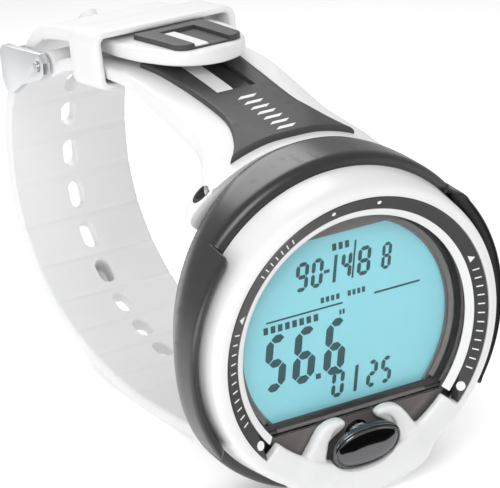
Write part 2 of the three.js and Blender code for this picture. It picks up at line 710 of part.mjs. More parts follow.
const KEEPER_Y = 32.4;
const KEEPER_Z = -73.0;
const KEEPER_LEAN = 9.5;            // degrees the keeper's passage tips with the strap

function roundedRect(halfWidth, halfHeight, corner) {
  const shape = new THREE.Shape();
  const half = Math.PI / 2;
  shape.absarc(halfWidth - corner, halfHeight - corner, corner, 0, half, false);
  shape.absarc(corner - halfWidth, halfHeight - corner, corner, half, 2 * half, false);
  shape.absarc(corner - halfWidth, corner - halfHeight, corner, 2 * half, 3 * half, false);
  shape.absarc(halfWidth - corner, corner - halfHeight, corner, 3 * half, 4 * half, false);
  return shape;
}

function keeperLoop() {
  const outline = roundedRect(14.8, 5.5, 2.2);
  outline.holes.push(new THREE.Path(roundedRect(13.3, 4.3, 1.0).getPoints(4)));
  const loop = extrudeZ(outline, -6, 6, 4);
  return loop.rotate([-KEEPER_LEAN, 0, 0]).translate([0, KEEPER_Y, KEEPER_Z]);
}

function buckleFrame() {
  const side = polygon([
    [27.6, -94.2], [28.0, -92.2], [26.6, -90.5], [24.2, -90.6], [22.8, -92.2],
    [19.2, -101], [15.6, -106.2], [15.8, -108.8], [18.0, -110.2], [23.6, -110.6],
    [25.0, -109.2], [25.2, -107.2],
  ]);
  const arms = [[-15.2, -13.6], [13.6, 15.2]].map(([x0, x1]) => extrudeX(side, x0, x1));
  const cross = barAlongX(CROSS_R, -15.2, 15.2, CROSS_Y, CROSS_Z);
  return joined([...arms, cross]).subtract(barAlongX(BAR_R + GAP / 2, -20, 20, BAR_Y, BAR_Z));
}

function buckleTongue() {
  const hub = barAlongX(1.9, -1.0, 1.0, BAR_Y, BAR_Z);
  const blade = polygon([[BAR_Y - 0.3, -94], [BAR_Y + 0.9, -93.8], [27.9, -98.5], [28.5, -101.5],
    [28.2, -104.4], [26.4, -109.2], [25.7, -111.0], [24.6, -110.6], [25.1, -109.0],
    [27.1, -103.6], [27.0, -100.0]]);
  return joined([hub, extrudeX(blade, -0.8, 0.8)])
    .subtract(barAlongX(BAR_R + GAP / 2, -5, 5, BAR_Y, BAR_Z));
}

piece('keeper_loop', keeperLoop(), WHITE_RUBBER);
piece('buckle_frame', buckleFrame(), STEEL);
piece('buckle_tongue', buckleTongue(), STEEL);
piece('buckle_spring_bar', barAlongX(BAR_R, -15.8, 15.8, BAR_Y, BAR_Z, 16), STEEL);

// ---------------------------------------------------------------- standing the watch up

const watch = new THREE.Group();
for (const mesh of meshes) watch.add(mesh);
watch.rotation.x = Math.PI / 2 + STAND_TILT;
watch.updateMatrixWorld(true);

const reach = new THREE.Box3().setFromObject(watch, true);
watch.position.y = -(reach.min.y + reach.max.y) / 2;
watch.position.z = -reach.min.z;

const diveComputer = new THREE.Group();
diveComputer.add(watch);
diveComputer.updateMatrixWorld(true);

export default diveComputer;
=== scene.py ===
"""Studio model of a round wrist dive computer with a closed strap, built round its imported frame."""

import json
import logging
import math
from dataclasses import dataclass
from enum import Enum
from typing import Callable, Sequence

import bmesh
import bpy
from mathutils import Matrix, Vector


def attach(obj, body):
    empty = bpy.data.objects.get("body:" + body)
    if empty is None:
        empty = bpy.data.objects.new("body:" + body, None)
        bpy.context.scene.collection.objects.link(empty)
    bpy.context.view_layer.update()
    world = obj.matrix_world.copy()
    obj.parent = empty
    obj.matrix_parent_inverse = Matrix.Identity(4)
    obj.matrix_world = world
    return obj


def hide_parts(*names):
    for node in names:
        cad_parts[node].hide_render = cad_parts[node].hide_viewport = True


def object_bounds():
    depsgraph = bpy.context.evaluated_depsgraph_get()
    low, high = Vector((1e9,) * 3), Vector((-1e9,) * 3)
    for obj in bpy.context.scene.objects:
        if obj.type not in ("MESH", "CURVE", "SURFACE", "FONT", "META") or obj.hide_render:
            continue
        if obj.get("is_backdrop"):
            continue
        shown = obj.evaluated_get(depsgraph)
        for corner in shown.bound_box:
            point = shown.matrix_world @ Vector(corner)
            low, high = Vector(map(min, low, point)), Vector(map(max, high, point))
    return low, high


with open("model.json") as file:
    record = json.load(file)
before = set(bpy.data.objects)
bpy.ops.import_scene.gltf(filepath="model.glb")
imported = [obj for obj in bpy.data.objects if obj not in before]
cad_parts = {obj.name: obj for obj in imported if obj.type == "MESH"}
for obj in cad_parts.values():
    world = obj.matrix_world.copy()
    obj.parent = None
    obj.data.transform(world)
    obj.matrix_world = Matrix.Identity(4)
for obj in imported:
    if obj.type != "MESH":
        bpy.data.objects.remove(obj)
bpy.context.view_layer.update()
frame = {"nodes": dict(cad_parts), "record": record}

MM = 0.001
LOG = logging.getLogger("dive_computer")

Point = tuple[float, float, float]
Flat = tuple[float, float]
Shape = tuple[list[Point], list[tuple[int, ...]]]


# ---------------------------------------------------------------- places


class WatchFrame:
    """The watch's own frame: X to three o'clock, Y to twelve, Z out of the display, in millimetres."""

    BACK_FACE_X = 17.8
    BACK_FACE_Z = -18.8

    def __init__(self, record: dict) -> None:
        """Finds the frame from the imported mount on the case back.

        Args:
            record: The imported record, whose mount lies on the flat wrist side of the case.
        """
        face = next(m for m in record["mounts"] if m["name"] == "case_back_face")
        outward = -Vector(face["axis"]).normalized()
        right = Vector((1.0, 0.0, 0.0))
        upward = outward.cross(right).normalized()
        origin = (Vector(face["pos_m"]) - right * self.BACK_FACE_X * MM
                  - outward * self.BACK_FACE_Z * MM)
        turn = Matrix((right, upward, outward)).transposed()
        self.turn = turn
        self.matrix = Matrix.Translation(origin) @ turn.to_4x4() @ Matrix.Scale(MM, 4)

    def place(self, point: Sequence[float]) -> Vector:
        """Row-frame place, in metres, of a point given in the watch frame."""
        return self.matrix @ Vector(point)

    def aim(self, direction: Sequence[float]) -> Vector:
        """Row-frame direction of a watch-frame direction."""
        return self.turn @ Vector(direction)


WATCH = WatchFrame(frame["record"])


# ---------------------------------------------------------------- small sums


def smooth(value: float) -> float:
    """Smooth step from 0 at 0 to 1 at 1."""
    held = max(0.0, min(1.0, value))
    return held * held * (3.0 - 2.0 * held)


def mix(start: float, end: float, share: float) -> float:
    """Value a share of the way from start to end."""
    return start + (end - start) * share


def soft_plus(value: float, softness: float) -> float:
    """max(0, value) with its corner rounded over softness."""
    return softness * math.log1p(math.exp(min(40.0, value / softness)))


def fan(start_deg: float, end_deg: float, steps: int) -> list[float]:
    """Angles in degrees from start to end, both included."""
    return [mix(start_deg, end_deg, i / steps) for i in range(steps + 1)]


# ---------------------------------------------------------------- shapes


def swept_ring(section_at: Callable[[float], list[Flat]], angles: Sequence[float],
               closed: bool) -> Shape:
    """Ring about the display's axis whose section may change with the angle.

    Args:
        section_at: Gives the closed section as (radius, z) points at an angle in degrees.
        angles: Angles of the stations, in degrees anticlockwise from three o'clock.
        closed: True if the last station joins the first, so the first angle isn't repeated.

    Returns:
        The shape's points and faces.
    """
    rings = []
    for angle in angles:
        cos, sin = math.cos(math.radians(angle)), math.sin(math.radians(angle))
        rings.append([(r * cos, r * sin, z) for r, z in section_at(angle)])
    return lofted(rings, closed)


def lofted(rings: Sequence[Sequence[Point]], closed: bool = False) -> Shape:
    """Skin over closed rings of equally many points, capped at both ends unless it is closed."""
    count = len(rings[0])
    points = [point for ring in rings for point in ring]
    faces: list[tuple[int, ...]] = []
    last = len(rings) if closed else len(rings) - 1
    for i in range(last):
        here, there = i * count, ((i + 1) % len(rings)) * count
        for j in range(count):
            k = (j + 1) % count
            faces.append((here + j, here + k, there + k, there + j))
    if not closed:
        faces.append(tuple(range(count)))
        faces.append(tuple(range((len(rings) - 1) * count, len(rings) * count)))
    return points, faces


def prism(outline: Sequence[Flat], low: float, high: float) -> Shape:
    """Outline in X-Y standing from one height to another."""
    return lofted([[(x, y, low) for x, y in outline], [(x, y, high) for x, y in outline]])


def prism_along_x(outline: Sequence[Flat], x0: float, x1: float) -> Shape:
    """Outline of (y, z) points carried along X."""
    return lofted([[(x0, y, z) for y, z in outline], [(x1, y, z) for y, z in outline]])


def circle(radius: float, count: int, centre: Flat = (0.0, 0.0)) -> list[Flat]:
    """Round outline."""
    return [(centre[0] + radius * math.cos(math.tau * i / count),
             centre[1] + radius * math.sin(math.tau * i / count)) for i in range(count)]


def stadium(length: float, width: float, steps: int = 10) -> list[Flat]:
    """Outline of a slot along Y with round ends."""
    reach, radius = (length - width) / 2, width / 2
    upper = [(radius * math.cos(math.radians(a)), reach + radius * math.sin(math.radians(a)))
             for a in fan(0, 180, steps)]
    return upper + [(-x, -y) for x, y in upper]


def chorded_circle(radius: float, bottom: float, top: float, steps: int = 60) -> list[Flat]:
    """Circle cut level at two heights; a top at or past the radius leaves it round there."""
    low = math.degrees(math.asin(bottom / radius))
    high = 90.0 if top >= radius else math.degrees(math.asin(top / radius))
    right = [(radius * math.cos(math.radians(a)), radius * math.sin(math.radians(a)))
             for a in fan(low, high, steps)]
    left = [(-x, y) for x, y in reversed(right)]
    return right + (left[1:] if high == 90.0 else left)


def curve_through(points: Sequence[Flat], samples: int) -> list[Flat]:
    """Evenly spaced samples of a smooth curve through given (y, z) points."""
    dense: list[Flat] = []
    per_span = 24
    for i in range(len(points) - 1):
        p0, p1 = points[max(i - 1, 0)], points[i]
        p2, p3 = points[i + 1], points[min(i + 2, len(points) - 1)]
        for step in range(per_span):
            dense.append(tuple(catmull(p0[k], p1[k], p2[k], p3[k], step / per_span)
                               for k in range(2)))
    dense.append(tuple(points[-1]))
    runs = [0.0]
    for a, b in zip(dense, dense[1:]):
        runs.append(runs[-1] + math.dist(a, b))
    out: list[Flat] = []
    j = 0
    for i in range(samples + 1):
        goal = runs[-1] * i / samples
        while j < len(runs) - 2 and runs[j + 1] < goal:
            j += 1
        share = (goal - runs[j]) / (runs[j + 1] - runs[j])
        out.append((mix(dense[j][0], dense[j + 1][0], share),
                    mix(dense[j][1], dense[j + 1][1], share)))
    return out


def catmull(p0: float, p1: float, p2: float, p3: float, t: float) -> float:
    """One coordinate of a uniform Catmull-Rom span."""
    v0, v1 = (p2 - p0) / 2, (p3 - p1) / 2
    return ((2 * p1 - 2 * p2 + v0 + v1) * t ** 3
            + (-3 * p1 + 3 * p2 - 2 * v0 - v1) * t ** 2 + v0 * t + p1)


# ---------------------------------------------------------------- bench work on objects


class Bench:
    """Turns watch-frame shapes into finished objects that sit at the row frame's origin."""

    def make(self, name: str, *shapes: Shape) -> bpy.types.Object:
        """Object of one or more closed shapes, with its faces turned outwards.

        Args:
            name: The piece's name.
            shapes: Closed shapes in the watch frame.

        Returns:
            The object, linked to the scene.
        """
        mesh = bpy.data.meshes.new(name)
        points: list[Vector] = []
        faces: list[tuple[int, ...]] = []
        for shape_points, shape_faces in shapes:
            base = len(points)
            points += [WATCH.place(p) for p in shape_points]
            faces += [tuple(base + i for i in face) for face in shape_faces]
        mesh.from_pydata(points, [], faces)
        body = bmesh.new()
        body.from_mesh(mesh)
        bmesh.ops.remove_doubles(body, verts=body.verts, dist=1e-7)
        bmesh.ops.recalc_face_normals(body, faces=body.faces)
        body.to_mesh(mesh)
        body.free()
        piece = bpy.data.objects.new(name, mesh)
        bpy.context.scene.collection.objects.link(piece)
        self.shade(piece)
        return piece

    def shade(self, piece: bpy.types.Object, angle_deg: float = 38.0) -> None:
        """Smooth faces, with edges sharper than an angle kept sharp."""
        piece.data.shade_smooth()
        piece.data.set_sharp_from_angle(angle=math.radians(angle_deg))

    def settle(self, piece: bpy.types.Object) -> None:
        """Applies every modifier on a piece."""
        graph = bpy.context.evaluated_depsgraph_get()
        done = bpy.data.meshes.new_from_object(piece.evaluated_get(graph), depsgraph=graph)
        piece.modifiers.clear()
        piece.data = done

    def combine(self, piece: bpy.types.Object, other: bpy.types.Object, kind: str) -> None:
        """Joins or cuts a piece by another, which is used up.

        Args:
            piece: The piece that stays.
            other: The tool, which is removed.
            kind: UNION or DIFFERENCE.
        """
        step = piece.modifiers.new("combine", "BOOLEAN")
        step.operation = kind
        step.solver = "EXACT"
        step.object = other
        self.settle(piece)
        bpy.data.objects.remove(other, do_unlink=True)

    def round_edges(self, piece: bpy.types.Object, width_mm: float, angle_deg: float = 35.0,
                    segments: int = 3) -> None:
        """Rounds every edge sharper than an angle.

        Args:
            piece: The piece, changed in place.
            width_mm: How far its edges are rounded.
            angle_deg: Edges sharper than this are rounded.
            segments: Faces across each rounding.
        """
        step = piece.modifiers.new("rounding", "BEVEL")
        step.width = width_mm * MM
        step.segments = segments
        step.limit_method = "ANGLE"
        step.angle_limit = math.radians(angle_deg)
        step.use_clamp_overlap = True
        self.settle(piece)
        self.shade(piece)

    def melt(self, piece: bpy.types.Object, voxel_mm: float, passes: int) -> None:
        """Fuses overlapping shapes into one softly rounded skin.

        Args:
            piece: The piece, changed in place.
            voxel_mm: Cell size of the new skin.
            passes: Smoothing passes.
        """
        fuse = piece.modifiers.new("fuse", "REMESH")
        fuse.mode = "VOXEL"
        fuse.voxel_size = voxel_mm * MM
        fuse.use_smooth_shade = True
        ease = piece.modifiers.new("ease", "SMOOTH")
        ease.factor = 0.5
        ease.iterations = passes
        self.settle(piece)
        piece.data.shade_smooth()

    def refined(self, node: str, name: str, width_mm: float) -> bpy.types.Object:
        """Copy of a CAD node with clean faces and rounded edges, standing for that node.

        Args:
            node: The CAD node.
            name: The new piece's name.
            width_mm: How far its edges are rounded.

        Returns:
            The new piece.
        """
        mesh = frame["nodes"][node].data.copy()
        body = bmesh.new()
        body.from_mesh(mesh)
        bmesh.ops.remove_doubles(body, verts=body.verts, dist=2e-6)
        bmesh.ops.dissolve_limit(body, angle_limit=math.radians(1.5), verts=body.verts,
                                 edges=body.edges)
        bmesh.ops.recalc_face_normals(body, faces=body.faces)
        body.to_mesh(mesh)
        body.free()
        piece = bpy.data.objects.new(name, mesh)
        bpy.context.scene.collection.objects.link(piece)
        self.round_edges(piece, width_mm)
        return piece

    def fit(self, piece: bpy.types.Object, body: str, finish: "Finish", *nodes: str) -> None:
        """Finishes a piece and fixes it to a body.

        Args:
            piece: The finished mesh.
            body: The CAD body that it rides on.
            finish: Its material.
            nodes: CAD nodes that it stands for.
        """
        piece.data.materials.clear()
        piece.data.materials.append(finish.material())
        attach(piece, body)
        if nodes:
            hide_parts(*nodes)
        LOG.info("%s: %d faces, on %s", piece.name, len(piece.data.polygons), body)


BENCH = Bench()


# ---------------------------------------------------------------- shared shader effects


class Socket(Enum):
    """Kinds of group socket."""

    NUMBER = "NodeSocketFloat"
    COLOUR = "NodeSocketColor"
    DIRECTION = "NodeSocketVector"


class Effect:
    """A node group that several finishes share, built once."""

    def __init__(self, name: str, inputs: dict[str, Socket], outputs: dict[str, Socket]) -> None:
        """Opens a new group with named sockets.

        Args:
            name: The group's name.
            inputs: Kind of each input.
            outputs: Kind of each output.
        """
        self.tree = bpy.data.node_groups.new(name, "ShaderNodeTree")
        for title, kind in inputs.items():
            self.tree.interface.new_socket(title, in_out="INPUT", socket_type=kind.value)
        for title, kind in outputs.items():
            self.tree.interface.new_socket(title, in_out="OUTPUT", socket_type=kind.value)
        self.way_in = self.tree.nodes.new("NodeGroupInput")
        self.way_out = self.tree.nodes.new("NodeGroupOutput")
        self.place = self.tree.nodes.new("ShaderNodeTexCoord").outputs["Object"]

    def noise(self, scale: object, detail: float, stretch: Point = (1.0, 1.0, 1.0)) -> object:
        """Noise on object coordinates; scale is a number or an input's name."""
        turn = self.tree.nodes.new("ShaderNodeMapping")
        turn.inputs["Scale"].default_value = stretch
        self.tree.links.new(self.place, turn.inputs["Vector"])
        node = self.tree.nodes.new("ShaderNodeTexNoise")
        node.inputs["Detail"].default_value = detail
        self.tree.links.new(turn.outputs["Vector"], node.inputs["Vector"])
        self.feed(node.inputs["Scale"], scale)
        return node.outputs["Fac"]

    def feed(self, socket: object, source: object) -> None:
        """Sets a socket from a number, an input's name or another socket."""
        if isinstance(source, str):
            self.tree.links.new(self.way_in.outputs[source], socket)
        elif isinstance(source, (int, float)):
            socket.default_value = source
        else:
            self.tree.links.new(source, socket)

    def sum(self, operation: str, first: object, second: object, third: object = 0.0) -> object:
        """Result of a math node."""
        node = self.tree.nodes.new("ShaderNodeMath")
        node.operation = operation
        for socket, source in zip(node.inputs, (first, second, third)):
            self.feed(socket, source)
        return node.outputs["Value"]

    def blend(self, share: object, first: object, second: object) -> object:
        """Mix of two colours."""
        node = self.tree.nodes.new("ShaderNodeMix")
        node.data_type = "RGBA"
        self.feed(node.inputs["Factor"], share)
        for socket, source in ((node.inputs[6], first), (node.inputs[7], second)):
            self.feed(socket, source)
        return node.outputs[2]

    def result(self, **outputs: object) -> bpy.types.NodeTree:
        """Feeds the group's outputs and returns its tree."""
        for title, source in outputs.items():
            self.feed(self.way_out.inputs[title], source)
        return self.tree


def moulded_skin() -> bpy.types.NodeTree:
    """Fine grain, slow clouds of colour and uneven gloss of a moulded surface."""
    effect = Effect("Moulded skin", {
        "Colour": Socket.COLOUR, "Second Colour": Socket.COLOUR, "Grain": Socket.NUMBER,
        "Clouds": Socket.NUMBER, "Roughness": Socket.NUMBER, "Swing": Socket.NUMBER,
    }, {"Colour": Socket.COLOUR, "Roughness": Socket.NUMBER, "Height": Socket.NUMBER})
    grain = effect.noise("Grain", 3.0)
    clouds = effect.noise("Clouds", 2.0)
    wiped = effect.noise("Clouds", 5.0, (1.0, 0.25, 1.0))
    colour = effect.blend(clouds, "Colour", "Second Colour")
    offset = effect.sum("MULTIPLY_ADD", wiped, 2.0, -1.0)
    rough = effect.sum("MULTIPLY_ADD", offset, "Swing", "Roughness")
    return effect.result(Colour=colour, Roughness=rough, Height=grain)


def handling_wear() -> bpy.types.NodeTree:
    """Hairline scuffs that dull a gloss, as a mask to add to roughness and height."""
    effect = Effect("Handling wear", {"Amount": Socket.NUMBER, "Scale": Socket.NUMBER},
                    {"Mask": Socket.NUMBER})
    along = effect.noise("Scale", 6.0, (0.06, 1.0, 1.0))
    across = effect.noise("Scale", 6.0, (1.0, 0.05, 0.6))
    both = effect.sum("MULTIPLY", along, across)
    lines = effect.sum("GREATER_THAN", both, 0.33)
    patches = effect.noise(90.0, 2.0)
    thinned = effect.sum("MULTIPLY", lines, patches)
    return effect.result(Mask=effect.sum("MULTIPLY", thinned, "Amount"))


def brushed_grain() -> bpy.types.NodeTree:
    """Short parallel lines of a brushed or blasted metal."""
    effect = Effect("Brushed grain", {"Scale": Socket.NUMBER, "Roughness": Socket.NUMBER},
                    {"Roughness": Socket.NUMBER, "Height": Socket.NUMBER})
    lines = effect.noise("Scale", 4.0, (0.04, 1.0, 1.0))
    rough = effect.sum("MULTIPLY_ADD", lines, 0.16, "Roughness")
    return effect.result(Roughness=rough, Height=lines)


SKIN = moulded_skin()
WEAR = handling_wear()
BRUSHED = brushed_grain()


# ---------------------------------------------------------------- finishes


class Surface(Enum):
    """How a finish's fine relief is made."""

    MOULDED = "moulded"
    METAL = "metal"
    CLEAR = "clear"


@dataclass(frozen=True)
class Finish:
    """One finish of the watch.

    Attributes:
        name: The material's name.
        slot: The record's material slot, or an empty string; not used.
        colour: Linear base colour.
        second: Colour of its slow clouds.
        roughness: Mean roughness.
        swing: How far the roughness wanders.
        grain: Grain noise scale per metre.
        relief_mm: Height of the grain.
        metallic: 1 for metal.
        coat: Weight of a glossy coat.
        shine: Specular level.
        painted_glow: Strength of painted light given off as emission, which brightens the colour; it
            stands for no lamp.
        wear: Amount of scuffing.
        surface: Kind of relief.
    """

    name: str
    slot: str
    colour: tuple[float, float, float]
    second: tuple[float, float, float]
    roughness: float = 0.4
    swing: float = 0.05
    grain: float = 2600.0
    relief_mm: float = 0.01
    metallic: float = 0.0
    coat: float = 0.0
    shine: float = 0.5
    painted_glow: float = 0.0
    wear: float = 0.0
    surface: Surface = Surface.MOULDED

    def material(self) -> bpy.types.Material:
        """The finish's material, made at its first use."""
        found = bpy.data.materials.get(self.name)
        return found if found else self._build()

    def _build(self) -> bpy.types.Material:
        """Builds the node tree."""
        material = bpy.data.materials.new(self.name)
        material.use_nodes = True
        nodes, links = material.node_tree.nodes, material.node_tree.links
        shader = nodes["Principled BSDF"]
        shader.inputs["Base Color"].default_value = (*self.colour, 1.0)
        shader.inputs["Roughness"].default_value = self.roughness
        shader.inputs["Metallic"].default_value = self.metallic
        shader.inputs["Specular IOR Level"].default_value = self.shine
        shader.inputs["Coat Weight"].default_value = self.coat
        shader.inputs["Coat Roughness"].default_value = 0.12
        bump = nodes.new("ShaderNodeBump")
        bump.inputs["Distance"].default_value = self.relief_mm * MM
        bump.inputs["Strength"].default_value = 0.6
        links.new(bump.outputs["Normal"], shader.inputs["Normal"])
        if self.surface is Surface.METAL:
            relief = self._group(nodes, BRUSHED, {"Scale": self.grain,
                                                  "Roughness": self.roughness})
            links.new(relief.outputs["Roughness"], shader.inputs["Roughness"])
            links.new(relief.outputs["Height"], bump.inputs["Height"])
            return material
        skin = self._group(nodes, SKIN, {
            "Colour": (*self.colour, 1.0), "Second Colour": (*self.second, 1.0),
            "Grain": self.grain, "Clouds": 60.0, "Roughness": self.roughness,
            "Swing": self.swing})
        if self.surface is Surface.CLEAR:
            shader.inputs["Transmission Weight"].default_value = 1.0
            shader.inputs["IOR"].default_value = 1.22
            self._pass_light(nodes, links, shader)
            return material
        links.new(skin.outputs["Colour"], shader.inputs["Base Color"])
        links.new(skin.outputs["Height"], bump.inputs["Height"])
        # Painted light: the colour is also given off as emission, which brightens the surface as if it
        # were lit.
        if self.painted_glow:
            links.new(skin.outputs["Colour"], shader.inputs["Emission Color"])
            shader.inputs["Emission Strength"].default_value = self.painted_glow
        scuffs = self._group(nodes, WEAR, {"Amount": self.wear, "Scale": 700.0})
        total = nodes.new("ShaderNodeMath")
        total.operation = "ADD"
        total.use_clamp = True
        links.new(skin.outputs["Roughness"], total.inputs[0])
        links.new(scuffs.outputs["Mask"], total.inputs[1])
        links.new(total.outputs["Value"], shader.inputs["Roughness"])
        return material

    @staticmethod
    def _pass_light(nodes: object, links: object, shader: object) -> None:
        """Lets light through clear glass without dimming what lies under it."""
        path = nodes.new("ShaderNodeLightPath")
        open_way = nodes.new("ShaderNodeBsdfTransparent")
        choice = nodes.new("ShaderNodeMixShader")
        links.new(path.outputs["Is Shadow Ray"], choice.inputs["Fac"])
        links.new(shader.outputs["BSDF"], choice.inputs[1])
        links.new(open_way.outputs["BSDF"], choice.inputs[2])
        links.new(choice.outputs["Shader"], nodes["Material Output"].inputs["Surface"])

    @staticmethod
    def _group(nodes: object, tree: bpy.types.NodeTree, values: dict[str, object]) -> object:
        """Places a shared effect with its own values."""
        node = nodes.new("ShaderNodeGroup")
        node.node_tree = tree
        for title, value in values.items():
            node.inputs[title].default_value = value
        return node


CASE_DARK = Finish("Dark case polymer", "case_dark", (0.010, 0.010, 0.0105), (0.015, 0.015, 0.0155),
                   roughness=0.30, swing=0.05, grain=3200, relief_mm=0.008, shine=0.75, wear=0.15)
BEZEL_WHITE = Finish("White bezel polymer", "bezel_white", (0.82, 0.82, 0.825),
                     (0.79, 0.79, 0.795), roughness=0.28, swing=0.05, grain=2600,
                     relief_mm=0.004, coat=0.2, wear=0.1)
RING_GREY = Finish("Dark dial ring", "ring_grey", (0.060, 0.058, 0.058), (0.075, 0.073, 0.073),
                   roughness=0.34, grain=4200, relief_mm=0.006, coat=0.15)
PRINT_WHITE = Finish("White dial print", "trim_white", (0.90, 0.90, 0.90), (0.86, 0.86, 0.86),
                     roughness=0.5, grain=5000, relief_mm=0.003)
TRIM_WHITE = Finish("White trim", "trim_white", (0.88, 0.88, 0.88), (0.84, 0.84, 0.84),
                    roughness=0.25, grain=2600, relief_mm=0.003, coat=0.3)
LENS_CLEAR = Finish("Clear lens", "lens_glass", (1.0, 1.0, 1.0), (1.0, 1.0, 1.0),
                    roughness=0.01, swing=0.004, shine=0.3,
                    surface=Surface.CLEAR)
MASK_GREY = Finish("Grey display surround", "mask_grey", (0.125, 0.115, 0.112),
                   (0.16, 0.145, 0.14), roughness=0.3, grain=5200, relief_mm=0.006, coat=0.4)
# The display's colour carries painted light: emission brightens it, though the display is no lamp.
LCD_CYAN = Finish("Lit display", "lcd", (0.21, 0.515, 0.58), (0.225, 0.535, 0.60), roughness=0.35,
                  grain=6000, relief_mm=0.002, painted_glow=0.2)
LCD_INK = Finish("Display segments", "lcd", (0.012, 0.060, 0.072), (0.018, 0.075, 0.088),
                 roughness=0.4, grain=6000, relief_mm=0.002)
BACKLIGHT = Finish("White diffuser", "backlight", (0.85, 0.9, 0.9), (0.8, 0.86, 0.86),
                   roughness=0.6)
BOARD_GREEN = Finish("Green board", "board_green", (0.02, 0.12, 0.05), (0.03, 0.15, 0.07),
                     roughness=0.4, grain=1400, relief_mm=0.02)
SEAL_BLACK = Finish("Black seal rubber", "seal_black", (0.02, 0.02, 0.02), (0.03, 0.03, 0.03),
                    roughness=0.6, grain=2400, relief_mm=0.02)
SWITCH_BLACK = Finish("Black switch", "switch_black", (0.02, 0.02, 0.02), (0.03, 0.03, 0.03),
                      roughness=0.4)
BACK_DARK = Finish("Textured back polymer", "back_dark", (0.032, 0.032, 0.034),
                   (0.044, 0.044, 0.046), roughness=0.46, grain=1500, relief_mm=0.03, wear=0.2)
BUTTON_CHROME = Finish("Black chrome", "button_chrome", (0.16, 0.16, 0.165), (0.14, 0.14, 0.145),
                       roughness=0.09, swing=0.02, metallic=1.0, grain=900, relief_mm=0.0008,
                       wear=0.05)
STRAP_WHITE = Finish("White strap rubber", "strap_white", (0.85, 0.85, 0.855),
                     (0.81, 0.81, 0.815), roughness=0.44, swing=0.07, grain=1700,
                     relief_mm=0.014, wear=0.1)
INLAY_GREY = Finish("Dark strap inlay", "inlay_grey", (0.040, 0.040, 0.041),
                    (0.052, 0.052, 0.053), roughness=0.48, grain=1500, relief_mm=0.022,
                    wear=0.15)
INLAY_WELL = Finish("Inlay window floor", "inlay_grey", (0.02, 0.02, 0.021),
                    (0.028, 0.028, 0.029), roughness=0.4, grain=1500, relief_mm=0.02)
BUCKLE_STEEL = Finish("Blasted steel", "buckle_steel", (0.74, 0.75, 0.77), (0.7, 0.7, 0.72),
                      roughness=0.24, metallic=1.0, grain=900, relief_mm=0.01,
                      surface=Surface.METAL)
STEEL = Finish("Satin steel", "steel", (0.55, 0.56, 0.58), (0.5, 0.5, 0.52), roughness=0.26,
               metallic=1.0, grain=1100, relief_mm=0.01, surface=Surface.METAL)
CELL_STEEL = Finish("Cell can", "cell_steel", (0.62, 0.62, 0.62), (0.58, 0.58, 0.58),
                    roughness=0.3, metallic=1.0, grain=1000, relief_mm=0.008,
                    surface=Surface.METAL)
BRASS = Finish("Plain brass", "brass", (0.62, 0.45, 0.18), (0.58, 0.42, 0.16), roughness=0.28,
               metallic=1.0, grain=1000, relief_mm=0.008, surface=Surface.METAL)


# ---------------------------------------------------------------- repeated pieces by nodes


